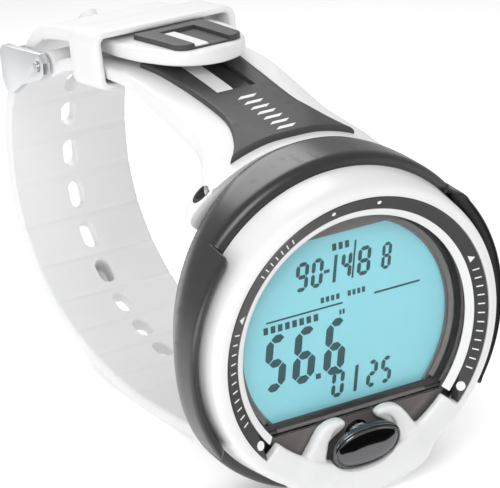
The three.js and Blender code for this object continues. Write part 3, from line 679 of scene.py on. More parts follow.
class Repeater:
    """A Geometry Nodes tree that sets one shape at equal steps round the display's axis."""

    INPUTS = {
        "Count": ("NodeSocketInt", 4), "First Angle": ("NodeSocketFloat", 0.0),
        "Step Angle": ("NodeSocketFloat", 0.1), "Radius": ("NodeSocketFloat", 20.0),
        "Height": ("NodeSocketFloat", 0.0), "Lean": ("NodeSocketFloat", 0.0),
        "Shape": ("NodeSocketObject", None), "Finish": ("NodeSocketMaterial", None),
    }

    def __init__(self) -> None:
        """Builds the tree once; angles are radians, lengths millimetres in the watch frame."""
        tree = bpy.data.node_groups.new("Pieces round the axis", "GeometryNodeTree")
        for title, (kind, value) in self.INPUTS.items():
            socket = tree.interface.new_socket(title, in_out="INPUT", socket_type=kind)
            if value is not None:
                socket.default_value = value
        tree.interface.new_socket("Geometry", in_out="OUTPUT", socket_type="NodeSocketGeometry")
        self.tree = tree
        self.way_in = tree.nodes.new("NodeGroupInput")
        out = tree.nodes.new("NodeGroupOutput")
        angle = self._sum("MULTIPLY_ADD", tree.nodes.new("GeometryNodeInputIndex").outputs[0],
                          self.way_in.outputs["Step Angle"], self.way_in.outputs["First Angle"])
        across = self._sum("MULTIPLY", self._sum("COSINE", angle), self.way_in.outputs["Radius"])
        along = self._sum("MULTIPLY", self._sum("SINE", angle), self.way_in.outputs["Radius"])
        spot = self._triple(across, along, self.way_in.outputs["Height"])
        turn = self._triple(0.0, self.way_in.outputs["Lean"], angle)
        dots = tree.nodes.new("GeometryNodePoints")
        tree.links.new(self.way_in.outputs["Count"], dots.inputs["Count"])
        tree.links.new(spot, dots.inputs["Position"])
        shape = tree.nodes.new("GeometryNodeObjectInfo")
        tree.links.new(self.way_in.outputs["Shape"], shape.inputs["Object"])
        copies = tree.nodes.new("GeometryNodeInstanceOnPoints")
        tree.links.new(dots.outputs[0], copies.inputs["Points"])
        tree.links.new(shape.outputs["Geometry"], copies.inputs["Instance"])
        tree.links.new(turn, copies.inputs["Rotation"])
        real = tree.nodes.new("GeometryNodeRealizeInstances")
        tree.links.new(copies.outputs[0], real.inputs[0])
        paint = tree.nodes.new("GeometryNodeSetMaterial")
        tree.links.new(real.outputs[0], paint.inputs["Geometry"])
        tree.links.new(self.way_in.outputs["Finish"], paint.inputs["Material"])
        tree.links.new(paint.outputs[0], out.inputs["Geometry"])

    def _sum(self, operation: str, *sources: object) -> object:
        """Result of a math node."""
        node = self.tree.nodes.new("ShaderNodeMath")
        node.operation = operation
        for socket, source in zip(node.inputs, sources):
            self.tree.links.new(source, socket)
        return node.outputs["Value"]

    def _triple(self, x: object, y: object, z: object) -> object:
        """Vector of three sources."""
        node = self.tree.nodes.new("ShaderNodeCombineXYZ")
        for socket, source in zip(node.inputs, (x, y, z)):
            if isinstance(source, float):
                socket.default_value = source
            else:
                self.tree.links.new(source, socket)
        return node.outputs["Vector"]

    def run(self, name: str, shape: Shape, finish: Finish, **values: float) -> bpy.types.Object:
        """Repeats a small shape, given round the watch frame's origin.

        Args:
            name: The piece's name.
            shape: The shape, in millimetres, its own X pointing outwards.
            finish: Its finish.
            values: Values of the tree's other inputs, spaces written as underscores.

        Returns:
            The realised piece, in the row frame.
        """
        seed = bpy.data.meshes.new(name + "_one")
        seed.from_pydata(shape[0], [], shape[1])
        body = bmesh.new()
        body.from_mesh(seed)
        bmesh.ops.recalc_face_normals(body, faces=body.faces)
        body.to_mesh(seed)
        body.free()
        one = bpy.data.objects.new(name + "_one", seed)
        piece = bpy.data.objects.new(name, bpy.data.meshes.new(name))
        for item in (one, piece):
            bpy.context.scene.collection.objects.link(item)
        step = piece.modifiers.new("repeat", "NODES")
        step.node_group = self.tree
        settings = {title.replace("_", " "): value for title, value in values.items()}
        settings |= {"Shape": one, "Finish": finish.material()}
        for item in self.tree.interface.items_tree:
            if item.in_out == "INPUT" and item.name in settings:
                step[item.identifier] = settings[item.name]
        BENCH.settle(piece)
        piece.data.transform(WATCH.matrix)
        BENCH.shade(piece)
        bpy.data.objects.remove(one, do_unlink=True)
        return piece


REPEATER = Repeater()


# ---------------------------------------------------------------- case


@dataclass
class Case:
    """Dark case shell with side guards, strap knuckles, the button's tube and the case back."""

    flank_radius: float = 31.27
    back_z: float = -18.8
    back_half_width: float = 26.6
    squeeze: float = 0.85
    draw_in: float = 0.511
    guard_upper_deg: float = 41.0
    guard_lower_deg: float = -33.0
    guard_turn_deg: float = 3.6
    guard_turn_mm: float = 1.35
    pin_y: float = 24.6
    pin_z: float = -21.3

    def guard_reach(self, angle: float) -> float:
        """Degrees that an angle lies inside the nearer end of a side guard."""
        folded = (angle + 90.0) % 360.0 - 90.0
        mirrored = folded if folded <= 90.0 else 180.0 - folded
        return min(self.guard_upper_deg - mirrored, mirrored - self.guard_lower_deg)

    def guard_share(self, angle: float) -> float:
        """1 on a side guard, 0 off it."""
        return smooth((self.guard_reach(angle) + 0.5) / 0.9)

    def guard_round(self, angle: float) -> float:
        """How far a guard's inner edge draws outwards, to round its ends in plan."""
        lack = 1.0 - max(0.0, min(1.0, self.guard_reach(angle) / self.guard_turn_deg))
        return self.guard_turn_mm * (1.0 - math.sqrt(max(0.0, 1.0 - lack * lack)))

    def flank(self, angle: float, z: float) -> float:
        """Radius of the flank, which draws in towards the wrist at three and nine o'clock."""
        cone = self.back_half_width + self.draw_in * (z - self.back_z)
        turn = math.radians(angle)
        limit = cone / math.hypot(math.cos(turn), self.squeeze * math.sin(turn))
        return self.flank_radius - soft_plus(self.flank_radius - limit, 0.35)

    def section(self, angle: float) -> list[Flat]:
        """Closed section of the shell at an angle."""
        share = self.guard_share(angle)
        bare = [(29.55, -7.76), (30.05, -7.85), (30.5, -8.1), (30.9, -8.5), (31.15, -9.0),
                (31.25, -9.6)]
        guard = [(29.62, -4.05), (29.95, -3.72), (30.5, -3.2), (30.85, -3.1), (31.12, -3.38),
                 (31.25, -4.0)]
        drawn = self.guard_round(angle)
        guard = [(min(r + drawn, 31.25 - (31.25 - r) * 0.12), z - 0.45 * drawn)
                 for r, z in guard]
        top = [(r0 + (r1 - r0) * share, z0 + (z1 - z0) * share)
               for (r0, z0), (r1, z1) in zip(bare, guard)]
        top.insert(0, (top[0][0], -7.8 - 0.15 * share))
        start = top[-1][1] - 0.5
        levels = [mix(start, self.back_z + 0.9, i / 11) for i in range(12)]
        side = [(self.flank(angle, z), z) for z in levels]
        foot = self.flank(angle, self.back_z)
        back = [(foot - 0.05, self.back_z + 0.45), (foot - 0.3, self.back_z + 0.12),
                (foot - 0.75, self.back_z)]
        neck = [(23.5, -2.6), (25.7, -2.6), (25.9, -2.8), (25.9, -7.75), (29.5, -7.75)]
        inside = [(21.5, -18.8), (21.5, -17.2), (13.4, -17.2), (13.4, -13.9), (21.4, -13.9),
                  (21.4, -5.4), (23.5, -5.4)]
        return neck + top + side + back + inside

    def build(self) -> None:
        """Builds every piece of the case."""
        ends = [self.guard_lower_deg, self.guard_upper_deg,
                180 - self.guard_upper_deg, 180 - self.guard_lower_deg]
        angles = [float(a) for a in range(-90, 270, 2)]
        angles += [end + offset for end in ends
                   for offset in (-3.6, -3.0, -2.4, -1.8, -1.3, -0.9, -0.6, -0.4, -0.25, -0.1,
                                               0.1, 0.25, 0.4, 0.6, 0.9, 1.3, 1.8, 2.4, 3.0, 3.6)]
        shell = BENCH.make("case_shell", swept_ring(self.section, sorted(set(angles)), True))
        port = BENCH.make("port_tool", prism(circle(2.7, 40, (0.0, 17.4)), -19.5, -10.3))
        BENCH.combine(shell, port, "DIFFERENCE")
        BENCH.shade(shell, 50)
        BENCH.fit(shell, "root", CASE_DARK, "case_body")
        self.knuckles()
        self.tube()
        self.case_back()

    def knuckles(self) -> None:
        """The two knuckles that carry the lug pins."""
        shapes = []
        for side in (1, -1):
            y = self.pin_y * side
            round_end = [(y + 2.5 * math.cos(math.radians(a)),
                          self.pin_z + 2.5 * math.sin(math.radians(a)))
                         for a in fan(180, 360, 18)]
            outline = round_end + [(y + 2.5, -18.2), (y - 2.5, -18.2)]
            shapes.append(prism_along_x(outline, -12.7, 12.7))
        piece = BENCH.make("lug_knuckles", *shapes)
        BENCH.round_edges(piece, 0.3)
        bores = [prism_along_x(circle(1.2, 24, (side * self.pin_y, self.pin_z)), -16.0, 16.0)
                 for side in (1, -1)]
        BENCH.combine(piece, BENCH.make("bore_tool", *bores), "DIFFERENCE")
        BENCH.shade(piece)
        BENCH.fit(piece, "root", CASE_DARK)

    def tube(self) -> None:
        """Grey floor round the horns, which also holds the button's tube."""
        outline = chorded_circle(23.55, -23.4, -14.9, 24)
        piece = BENCH.make("button_tube", prism(outline, -5.4, -2.6))
        bore = BENCH.make("tube_tool", Button.leaned(prism(circle(2.45, 40), -7.0, 5.0)))
        BENCH.combine(piece, bore, "DIFFERENCE")
        BENCH.shade(piece, 10)
        BENCH.fit(piece, "root", MASK_GREY)

    def case_back(self) -> None:
        """Back plate, battery cap and the plate's four screws."""
        plate = BENCH.refined("back_plate", "back_cover", 0.25)
        BENCH.fit(plate, "root", BACK_DARK, "back_plate")
        cap = BENCH.refined("battery_cap", "battery_door", 0.25)
        BENCH.fit(cap, "battery_cap", BACK_DARK, "battery_cap")
        profile = [(0.01, -0.45), (0.45, -0.5), (0.5, -0.86), (1.0, -0.82), (1.35, -0.6),
                   (1.45, -0.3), (1.45, 0.0), (0.8, 0.05), (0.8, 2.5), (0.6, 2.7), (0.01, 2.7)]
        head = swept_ring(lambda angle: profile, [float(a) for a in range(0, 360, 15)], True)
        screws = REPEATER.run("back_screws", head, STEEL, Count=4, First_Angle=math.radians(45),
                              Step_Angle=math.radians(90), Radius=18.6, Height=-17.94)
        BENCH.fit(screws, "root", STEEL, *(f"back_screw_{i}" for i in range(1, 5)))


# ---------------------------------------------------------------- button


@dataclass
class Button:
    """Oval push button in its leaning well."""

    half_width: float = 6.7
    half_height: float = 4.5
    squareness: float = 2.25

    CENTRE_Y = -19.4
    LEAN_DEG = 15.0

    @classmethod
    def leaned(cls, shape: Shape) -> Shape:
        """Shape carried from the button's own frame into the watch frame."""
        cos, sin = math.cos(math.radians(cls.LEAN_DEG)), math.sin(math.radians(cls.LEAN_DEG))
        points = [(x, cls.CENTRE_Y + y * cos - z * sin, y * sin + z * cos)
                  for x, y, z in shape[0]]
        return points, shape[1]

    def oval(self, inset: float, count: int = 96) -> list[Flat]:
        """Slightly squared oval outline."""
        power = 2.0 / self.squareness
        wide, high = self.half_width - inset, self.half_height - inset
        out = []
        for i in range(count):
            cos, sin = math.cos(math.tau * i / count), math.sin(math.tau * i / count)
            out.append((math.copysign(abs(cos) ** power, cos) * wide,
                        math.copysign(abs(sin) ** power, sin) * high))
        return out

    def build(self) -> None:
        """Builds the cap with its stepped rim and domed face."""
        hollow_skirt = [(1.65, 0.2), (1.5, -0.3), (0.9, -0.35), (0.55, -0.3), (0.5, 0.1)]
        rim = [(0.12, 0.2), (0.03, 0.3), (0.0, 0.55), (0.0, 0.95), (0.08, 1.14), (0.25, 1.24),
               (0.42, 1.22), (0.5, 1.08), (0.62, 1.08), (0.7, 1.22), (0.85, 1.38)]
        dome = [(1.1, 1.5), (1.5, 1.6), (2.0, 1.69), (2.6, 1.77), (3.3, 1.83), (3.9, 1.865)]
        steps = hollow_skirt + rim + dome
        rings = [[(x, y, z) for x, y in self.oval(inset)] for inset, z in steps]
        cap = BENCH.make("button_face", self.leaned(lofted(rings)))
        BENCH.shade(cap, 48)
        BENCH.fit(cap, "button", BUTTON_CHROME, "button_cap")


# ---------------------------------------------------------------- bezel and rings


@dataclass
class Bezel:
    """White bezel wall, the raised bridge with its two horns, and the dial rings."""

    opening_deg: float = 41.7
    ring_outer: float = 26.0
    ring_inner: float = 23.7
    ring_drop: float = 1.05

    def build(self) -> None:
        """Builds the wall, bridge and rings."""
        self.wall()
        self.bridge()
        self.dial_ring()
        self.trim()
        self.marks()

    def wall(self) -> None:
        """Round white wall with a soft shoulder."""
        section = [(26.12, -0.3), (26.2, -0.08), (26.45, 0.0), (26.9, -0.05), (27.4, -0.2),
                   (27.85, -0.48), (28.2, -0.85), (28.42, -1.3), (28.56, -1.9), (28.75, -3.2),
                   (28.98, -5.0), (29.3, -7.45), (29.2, -7.55), (26.12, -7.55)]
        angles = [i * 2.0 for i in range(180)]
        piece = BENCH.make("bezel_wall", swept_ring(lambda angle: section, angles, True))
        BENCH.shade(piece, 45)
        BENCH.fit(piece, "root", BEZEL_WHITE, "bezel_ring")

    def bridge_section(self, angle: float) -> list[Flat]:
        """Section of the bridge, whose lip swells towards six o'clock."""
        away = abs(angle - 270.0)
        lip = smooth((33.0 - away) / 9.0)
        top = mix(0.0, 0.62, lip)
        rim = mix(28.35, 29.8, lip)
        foot = mix(-3.0, -7.5, lip)
        return [(22.6, -1.9), (22.5, -0.9), (22.75, top - 0.45), (23.3, top - 0.12),
                (24.2, top), (26.0, top), (rim - 1.3, top), (rim - 0.6, top - 0.2),
                (rim - 0.15, top - 0.7), (rim, top - 1.5), (rim, foot), (26.4, foot),
                (26.4, -1.9)]

    def horn(self, side: int) -> Shape:
        """One horn, a rounded lobe that fills the way from the bridge to the button."""
        outline = [(12.4, -21.8), (11.9, -20.4), (11.3, -19.5), (10.7, -18.7), (10.1, -17.8),
                   (9.6, -17.0), (9.0, -16.2), (8.3, -15.35), (7.5, -14.75), (6.7, -14.35),
                   (5.9, -14.2), (5.0, -14.15), (4.2, -14.3), (3.5, -14.6), (3.1, -15.0),
                   (3.15, -15.6), (3.6, -16.2), (5.2, -17.2), (6.5, -18.6), (7.0, -20.0),
                   (7.4, -21.8)]
        rings = []
        for inset, z in ((0.0, -2.55), (0.0, -1.15), (0.12, -0.85), (0.32, -0.6), (0.62, -0.42)):
            ring = []
            for i, (x, y) in enumerate(outline):
                ahead, behind = outline[(i + 1) % len(outline)], outline[i - 1]
                dx, dy = ahead[0] - behind[0], ahead[1] - behind[1]
                length = math.hypot(dx, dy)
                ring.append((side * (x - dy / length * inset), y + dx / length * inset, z))
            rings.append(ring)
        return lofted(rings)

    def bridge(self) -> None:
        """The bridge, its horns and the well that the button sits in."""
        start, end = 180 + self.opening_deg + 0.6, 360 - self.opening_deg - 0.6
        body = swept_ring(self.bridge_section, fan(start, end, 60), False)
        piece = BENCH.make("button_bridge", body, self.horn(1), self.horn(-1))
        first = piece.modifiers.new("fuse", "REMESH")
        first.mode = "VOXEL"
        first.voxel_size = 0.24 * MM
        button = Button()
        well = [[(x, y, z) for x, y in button.oval(-inset, 72)]
                for inset, z in ((0.3, -1.6), (0.3, 5.0))]
        bore = [[(x, y, z) for x, y in circle(3.4, 40)] for z in (-6.0, 1.0)]
        tool = BENCH.make("well_tool", Button.leaned(lofted(well)))
        second_tool = BENCH.make("bore_tool", Button.leaned(lofted(bore)))
        BENCH.settle(piece)
        BENCH.combine(piece, tool, "DIFFERENCE")
        BENCH.combine(piece, second_tool, "DIFFERENCE")
        BENCH.melt(piece, 0.21, 6)
        BENCH.fit(piece, "root", BEZEL_WHITE)

    def below(self, angle: float) -> float:
        """Degrees that an angle lies under three or nine o'clock, 0 above them."""
        return max(0.0, -angle, angle - 180.0)

    def inner_edge(self, angle: float) -> float:
        """Inner radius of the dial ring, which narrows to a point at its ends."""
        a = math.radians(self.below(angle))
        return max(self.ring_inner, 23.12 / (math.cos(a) + 0.2208 * math.sin(a)))

    def dial_section(self, angle: float) -> list[Flat]:
        """Section of the sloping dial ring."""
        inner = min(self.inner_edge(angle), self.ring_outer - 0.08)
        drop = self.ring_drop * (self.ring_outer - inner) / (self.ring_outer - self.ring_inner)
        return [(inner, -drop), (inner, -2.3), (self.ring_outer, -2.3),
                (self.ring_outer, -0.12), (self.ring_outer - 0.1, -0.04)]

    def dial_ring(self) -> None:
        """Dark sloping ring, open at the bottom, with pointed ends."""
        angles = fan(-self.opening_deg, 180 + self.opening_deg, 200)
        piece = BENCH.make("dial_ring", swept_ring(self.dial_section, angles, False))
        BENCH.fit(piece, "root", RING_GREY, "chapter_ring")

    def trim(self) -> None:
        """White ring between the dial ring and the lens."""
        section = [(22.3, -1.95), (22.3, -1.82), (22.45, -1.7), (23.45, -1.0), (23.62, -0.98),
                   (23.68, -1.1), (23.68, -2.2), (22.5, -2.2)]
        end = self.opening_deg - 2.2
        piece = BENCH.make("inner_trim", swept_ring(lambda angle: section,
                                                    fan(-end, 180 + end, 170), False))
        BENCH.shade(piece, 30)
        BENCH.fit(piece, "root", TRIM_WHITE, "inner_trim_ring")

    def marks(self) -> None:
        """Plain ticks, dots and pointers on the dial ring, in place of any wording."""
        lean = -math.atan(self.ring_drop / (self.ring_outer - self.ring_inner))
        middle = -self.ring_drop * 0.5 + 0.02
        tick = prism([(-0.62, -0.11), (0.62, -0.11), (0.62, 0.11), (-0.62, 0.11)], -0.05, 0.05)
        for name, first, step, count in (("ticks_left", 163.0, 4.0, 11),
                                         ("ticks_right", 17.0, -4.0, 12),
                                         ("ticks_top", 120.0, 3.0, 7)):
            ring = REPEATER.run(name, tick, PRINT_WHITE, Count=count,
                                First_Angle=math.radians(first), Step_Angle=math.radians(step),
                                Radius=24.85, Height=middle, Lean=lean)
            BENCH.fit(ring, "root", PRINT_WHITE)
        dot = prism(circle(0.85, 20), -0.05, 0.06)
        for name, first in (("dot_left", 215.4), ("dot_right", -35.4)):
            piece = REPEATER.run(name, dot, PRINT_WHITE, Count=1, First_Angle=math.radians(first),
                                 Step_Angle=0.1, Radius=24.9, Height=middle + 0.05, Lean=lean)
            BENCH.fit(piece, "root", PRINT_WHITE)
        small = prism(circle(0.38, 14), -0.05, 0.05)
        studs = REPEATER.run("dots_top", small, PRINT_WHITE, Count=2,
                             First_Angle=math.radians(79.7), Step_Angle=math.radians(20.6),
                             Radius=25.0, Height=middle + 0.05, Lean=lean)
        BENCH.fit(studs, "root", PRINT_WHITE)
        arrow = prism([(0.62, -0.1), (-0.5, 0.62), (-0.5, -0.82)], -0.05, 0.05)
        arrows = REPEATER.run("pointers", arrow, PRINT_WHITE, Count=2,
                              First_Angle=math.radians(23.0), Step_Angle=math.radians(134.0),
                              Radius=24.8, Height=middle, Lean=lean)
        BENCH.fit(arrows, "root", PRINT_WHITE)


# ---------------------------------------------------------------- display


class Segment(Enum):
    """Bars of a seven-bar numeral."""

    TOP = "a"
    UPPER_RIGHT = "b"
    LOWER_RIGHT = "c"
    BOTTOM = "d"
    LOWER_LEFT = "e"
    UPPER_LEFT = "f"
    MIDDLE = "g"


NUMERALS = {"0": "abcdef", "1": "bc", "2": "abged", "3": "abgcd", "4": "fgbc", "5": "afgcd",
            "6": "afgedc", "7": "abc", "8": "abcdefg", "9": "abcdfg", "-": "g"}


@dataclass
class Display:
    """Surround, liquid crystal panel with its numerals, and the clear lens."""

    window_radius: float = 20.4
    window_top: float = 18.6
    window_bottom: float = -13.8
    ink_z: float = -6.3
    slant: float = 0.13

    def build(self) -> None:
        """Builds the display from the surround to the lens."""
        self.surround()
        outline = chorded_circle(self.window_radius + 0.5, self.window_bottom - 0.4,
                                 self.window_top + 0.4)
        panel = BENCH.make("lcd_sheet", prism(outline, -7.3, self.ink_z))
        BENCH.round_edges(panel, 0.08, segments=2)
        BENCH.shade(panel, 10)
        BENCH.fit(panel, "root", LCD_CYAN, "lcd_panel")
        self.numerals()
        glass = BENCH.make("lens_window", prism(chorded_circle(23.1, -14.86, 30.0, 90), -4.2, -2.2))
        BENCH.round_edges(glass, 0.18, segments=3)
        BENCH.shade(glass, 10)
        BENCH.fit(glass, "root", LENS_CLEAR, "lens")

    def window(self, angle: float) -> float:
        """Radius of the window's edge at an angle."""
        sin = math.sin(math.radians(angle))
        limit = self.window_top / sin if sin > 0.01 else 99.0
        if sin < -0.01:
            limit = self.window_bottom / sin
        return min(self.window_radius, limit)

    def surround(self) -> None:
        """Thin grey sheet with the display's window."""
        corner_low = math.degrees(math.asin(self.window_bottom / self.window_radius))
        corner_high = math.degrees(math.asin(self.window_top / self.window_radius))
        angles = [float(a) for a in range(0, 360, 3)]
        angles += [corner_low % 360, 180 - corner_low, corner_high, 180 - corner_high]

        def section(angle: float) -> list[Flat]:
            """Section of the sheet at an angle."""
            sin = math.sin(math.radians(angle))
            outer = min(21.1, 15.4 / -sin) if sin < -0.01 else 21.1
            inner = self.window(angle)
            return [(inner, -5.95), (outer, -5.95), (outer, -5.65), (inner + 0.1, -5.6)]

        piece = BENCH.make("display_surround", swept_ring(section, sorted(angles), True))
        BENCH.fit(piece, "root", MASK_GREY, "display_mask")
        sill = BENCH.make("display_sill", prism_along_x(
            [(-13.8, -5.58), (-14.75, -4.25), (-14.88, -4.25), (-14.88, -5.7)], -14.9, 14.9))
        BENCH.fit(sill, "root", MASK_GREY)
        shelf = BENCH.make("lens_seat", swept_ring(
            lambda angle: [(20.9, -5.55), (23.45, -5.2), (23.45, -2.75), (23.2, -2.7),
                           (23.18, -4.6), (21.0, -5.4)],
            fan(-38.0, 218.0, 150), False))
        BENCH.fit(shelf, "root", MASK_GREY)

    def bar(self, x0: float, x1: float, y: float, thickness: float) -> Shape:
        """Plain level bar of ink."""
        half = thickness / 2
        return self.sheared([(x0, y - half), (x1, y - half), (x1, y + half), (x0, y + half)], 0.0)

    def sheared(self, outline: Sequence[Flat], foot: float) -> Shape:
        """Inked shape that slants to the right above its foot line.

        Args:
            outline: Corners in the display's plane, in mm.
            foot: Height of the foot line; at 0 the shape stays upright.

        Returns:
            The shape, as thick as the ink.
        """
        if foot == 0.0:
            return prism(outline, self.ink_z - 0.02, self.ink_z + 0.05)
        leaned = [(x + (y - foot) * self.slant, y) for x, y in outline]
        return prism(leaned, self.ink_z - 0.02, self.ink_z + 0.05)

    def numeral(self, sign: str, x0: float, x1: float, y0: float, y1: float,
                thickness: float) -> list[Shape]:
        """Bars of one slanting numeral.

        Args:
            sign: The numeral, or a dash.
            x0: Left edge at its foot.
            x1: Right edge at its foot.
            y0: Foot.
            y1: Head.
            thickness: Thickness of a bar.

        Returns:
            One shape for each bar.
        """
        half, gap = thickness / 2, thickness * 0.12
        middle = (y0 + y1) / 2
        left, right, low, high = x0 + half, x1 - half, y0 + half, y1 - half

        def level(y: float) -> list[Flat]:
            """Pointed bar across."""
            a, b = left + gap, right - gap
            return [(a, y), (a + half, y + half), (b - half, y + half), (b, y),
                    (b - half, y - half), (a + half, y - half)]

        def upright(x: float, a: float, b: float) -> list[Flat]:
            """Pointed bar upwards."""
            a, b = a + gap, b - gap
            return [(x, a), (x + half, a + half), (x + half, b - half), (x, b),
                    (x - half, b - half), (x - half, a + half)]

        bars = {
            Segment.TOP: level(high), Segment.MIDDLE: level(middle), Segment.BOTTOM: level(low),
            Segment.UPPER_RIGHT: upright(right, middle, high),
            Segment.LOWER_RIGHT: upright(right, low, middle),
            Segment.UPPER_LEFT: upright(left, middle, high),
            Segment.LOWER_LEFT: upright(left, low, middle),
        }
        return [self.sheared(bars[Segment(letter)], y0) for letter in NUMERALS[sign]]

    def numerals(self) -> None:
        """Numerals and plain marks of the readout."""
        shapes: list[Shape] = []
        for sign, x0, x1 in (("5", -16.6, -12.3), ("6", -10.9, -6.5), ("6", -4.7, -0.5)):
            shapes += self.numeral(sign, x0, x1, -8.0, 2.5, 1.45)
        shapes.append(self.bar(-6.0, -5.0, -7.5, 1.0))
        for sign, x0, x1 in (("9", -9.6, -7.1), ("0", -6.5, -4.2), ("4", -0.6, 1.5),
                             ("8", 2.7, 5.3)):
            shapes += self.numeral(sign, x0, x1, 9.3, 14.6, 0.72)
        shapes += self.numeral("8", 7.6, 9.5, 9.3, 14.2, 0.6)
        shapes.append(self.bar(-3.7, -2.6, 11.8, 0.6))
        shapes += [self.sheared([(-2.1, 9.4), (-1.5, 9.4), (-1.5, 14.4), (-2.1, 14.4)], 9.4)]
        shapes += [self.sheared([(1.7, 9.3), (2.05, 9.3), (2.05, 16.2), (1.7, 16.2)], 9.3)]
        for sign, x0, x1 in (("0", -3.2, -0.7), ("2", 3.9, 6.1), ("5", 6.8, 9.0)):
            shapes += self.numeral(sign, x0, x1, -12.5, -7.4, 0.76)
        shapes += [self.sheared([(1.4, -12.4), (2.05, -12.4), (2.05, -7.5), (1.4, -7.5)], -12.4)]
        shapes += [self.bar(-15.3, -0.2, 5.15, 0.3), self.bar(6.2, 15.5, 5.35, 0.34)]
        shapes += self.labels(-1.9, 1.9, 15.9, 3, 1.3)
        shapes += self.labels(-4.5, -0.4, 6.6, 4, 1.0)
        shapes += self.labels(0.9, 4.7, 6.6, 4, 1.0)
        shapes += self.labels(-15.9, -4.6, 3.7, 8, 1.3)
        shapes += self.labels(-0.9, 0.4, 3.5, 2, 0.9)
        ink = BENCH.make("lcd_numerals", *shapes)
        BENCH.fit(ink, "root", LCD_INK)

    def labels(self, x0: float, x1: float, y: float, count: int, height: float) -> list[Shape]:
        """Row of small plain blocks where a caption would stand."""
        pitch = (x1 - x0) / count
        return [self.bar(x0 + pitch * i, x0 + pitch * (i + 0.62), y, height)
                for i in range(count)]


# ---------------------------------------------------------------- strap


@dataclass
class StrapRun:
    """Path and faces of one strap half, on its inner face, in the watch's Y-Z plane.

    Attributes:
        path: Given (y, z) points from the case outwards.
        side: 1 for the half at twelve o'clock, -1 for the one at six.
        thickness: Height of the outer face.
        cone_radius: Radius, round the case axis, that the spread end is held inside.
        cone_slope: How fast that radius grows away from the case.
        cone_start: Height where it starts to grow.
    """

    path: tuple[Flat, ...]
    side: int
    thickness: float
    cone_radius: float
    cone_slope: float
    cone_start: float
    half_width: float = 13.0

    def __post_init__(self) -> None:
        """Samples the path evenly and notes how far along each sample lies."""
        self.samples = curve_through(self.path, 800)
        self.runs = [0.0]
        for a, b in zip(self.samples, self.samples[1:]):
            self.runs.append(self.runs[-1] + math.dist(a, b))

    def at(self, run: float) -> tuple[Flat, Flat]:
        """Place on the inner face and its outward direction, at a length along the path."""
        share = max(0.0, min(1.0, run / self.runs[-1])) * (len(self.samples) - 1)
        i = min(int(share), len(self.samples) - 2)
        (y0, z0), (y1, z1) = self.samples[i], self.samples[i + 1]
        a, b = self.samples[max(i - 2, 0)], self.samples[min(i + 3, len(self.samples) - 1)]
        dy, dz = b[0] - a[0], b[1] - a[1]
        length = math.hypot(dy, dz)
        turn = -self.side / length
        part = share - i
        return (mix(y0, y1, part), mix(z0, z1, part)), (dz * turn, -dy * turn)

    def run_at(self, z: float, from_end: bool = False) -> float:
        """Length along the path where it crosses a height, first from the case or from the end."""
        order = range(len(self.samples) - 1)
        for i in reversed(order) if from_end else order:
            z0, z1 = self.samples[i][1], self.samples[i + 1][1]
            if min(z0, z1) <= z <= max(z0, z1):
                return mix(self.runs[i], self.runs[i + 1], (z - z0) / ((z1 - z0) or 1.0))
        return self.runs[-1] if from_end else 0.0

    def cone_height(self, x: float, place: Flat, inset: float = 0.0) -> float:
        """Height over the inner face at which the cone passes, at an offset across the strap."""
        y, z = place
        if y * self.side < 0.0 or z < -92.0:
            return 99.0
        radius = self.cone_radius + self.cone_slope * max(0.0, self.cone_start - z) - inset
        return math.sqrt(max(radius * radius - x * x, 1.0)) - abs(y)

    def face(self, x: float, place: Flat) -> float:
        """Height of the outer face over the inner one."""
        return self.thickness - soft_plus(self.thickness - self.cone_height(x, place), 0.12)

    def point(self, x: float, run: float, height: float) -> Point:
        """Watch-frame point at an offset, a length along and a height."""
        (y, z), (ny, nz) = self.at(run)
        return x, y + ny * height, z + nz * height

    def over_face(self, x: float, run: float, height: float) -> Point:
        """Watch-frame point at a height over the outer face."""
        return self.point(x, run, self.face(x, self.at(run)[0]) + height)

    def plate(self, left: Callable[[float], float], right: Callable[[float], float],
              runs: Sequence[float], low: float, high: float, corner: float = 0.25) -> Shape:
        """Curved plate that follows the outer face.

        Args:
            left: Left edge at a share from 0 to 1 along the runs.
            right: Right edge at a share.
            runs: Lengths along the path of the stations.
            low: Height of its underside over the outer face.
            high: Height of its top.
            corner: How far its upper edges are rounded.

        Returns:
            The shape.
        """
        rings = []
        first, last = runs[0], runs[-1]
        for run in runs:
            share = (run - first) / (last - first)
            a, b = left(share), right(share)
            ends = min(abs(run - first), abs(run - last))
            round_off = corner * (1.0 - min(1.0, ends / corner)) ** 2 if corner else 0.0
            top = high - round_off
            across = [mix(a + corner, b - corner, i / 24) for i in range(25)]
            ring = [self.over_face(x, run, top) for x in across]
            ring.append(self.over_face(b - corner * 0.3, run, top - corner * 0.3))
            ring.append(self.over_face(b, run, top - corner))
            ring.append(self.over_face(b, run, low))
            ring += [self.over_face(x, run, low) for x in reversed(across)]
            ring.append(self.over_face(a, run, low))
            ring.append(self.over_face(a, run, top - corner))
            ring.append(self.over_face(a + corner * 0.3, run, top - corner * 0.3))
            rings.append(ring)
        return lofted(rings)


LONG_PATH = (
    (-28.6, -19.1), (-28.8, -30), (-29.9, -40), (-31.4, -50), (-32.5, -60), (-32.7, -68),
    (-32.0, -79), (-29.6, -90), (-26.0, -98.6), (-21.0, -105.4), (-14.5, -110.6),
    (-7.5, -113.2), (0, -113.9), (7.0, -113.2), (13.0, -110.8), (18.0, -107.0),
    (22.0, -103.3), (26.0, -99.9), (29.2, -95.6), (31.0, -89), (32.3, -80), (33.5, -70),
    (35.0, -60), (36.4, -50), (37.2, -43.5),
)
SHORT_PATH = (
    (28.2, -19.1), (28.4, -23), (29.1, -32), (29.9, -40), (30.5, -48), (30.8, -56),
    (30.2, -65), (28.7, -75), (26.4, -84.5), (22.9, -92.0),
)


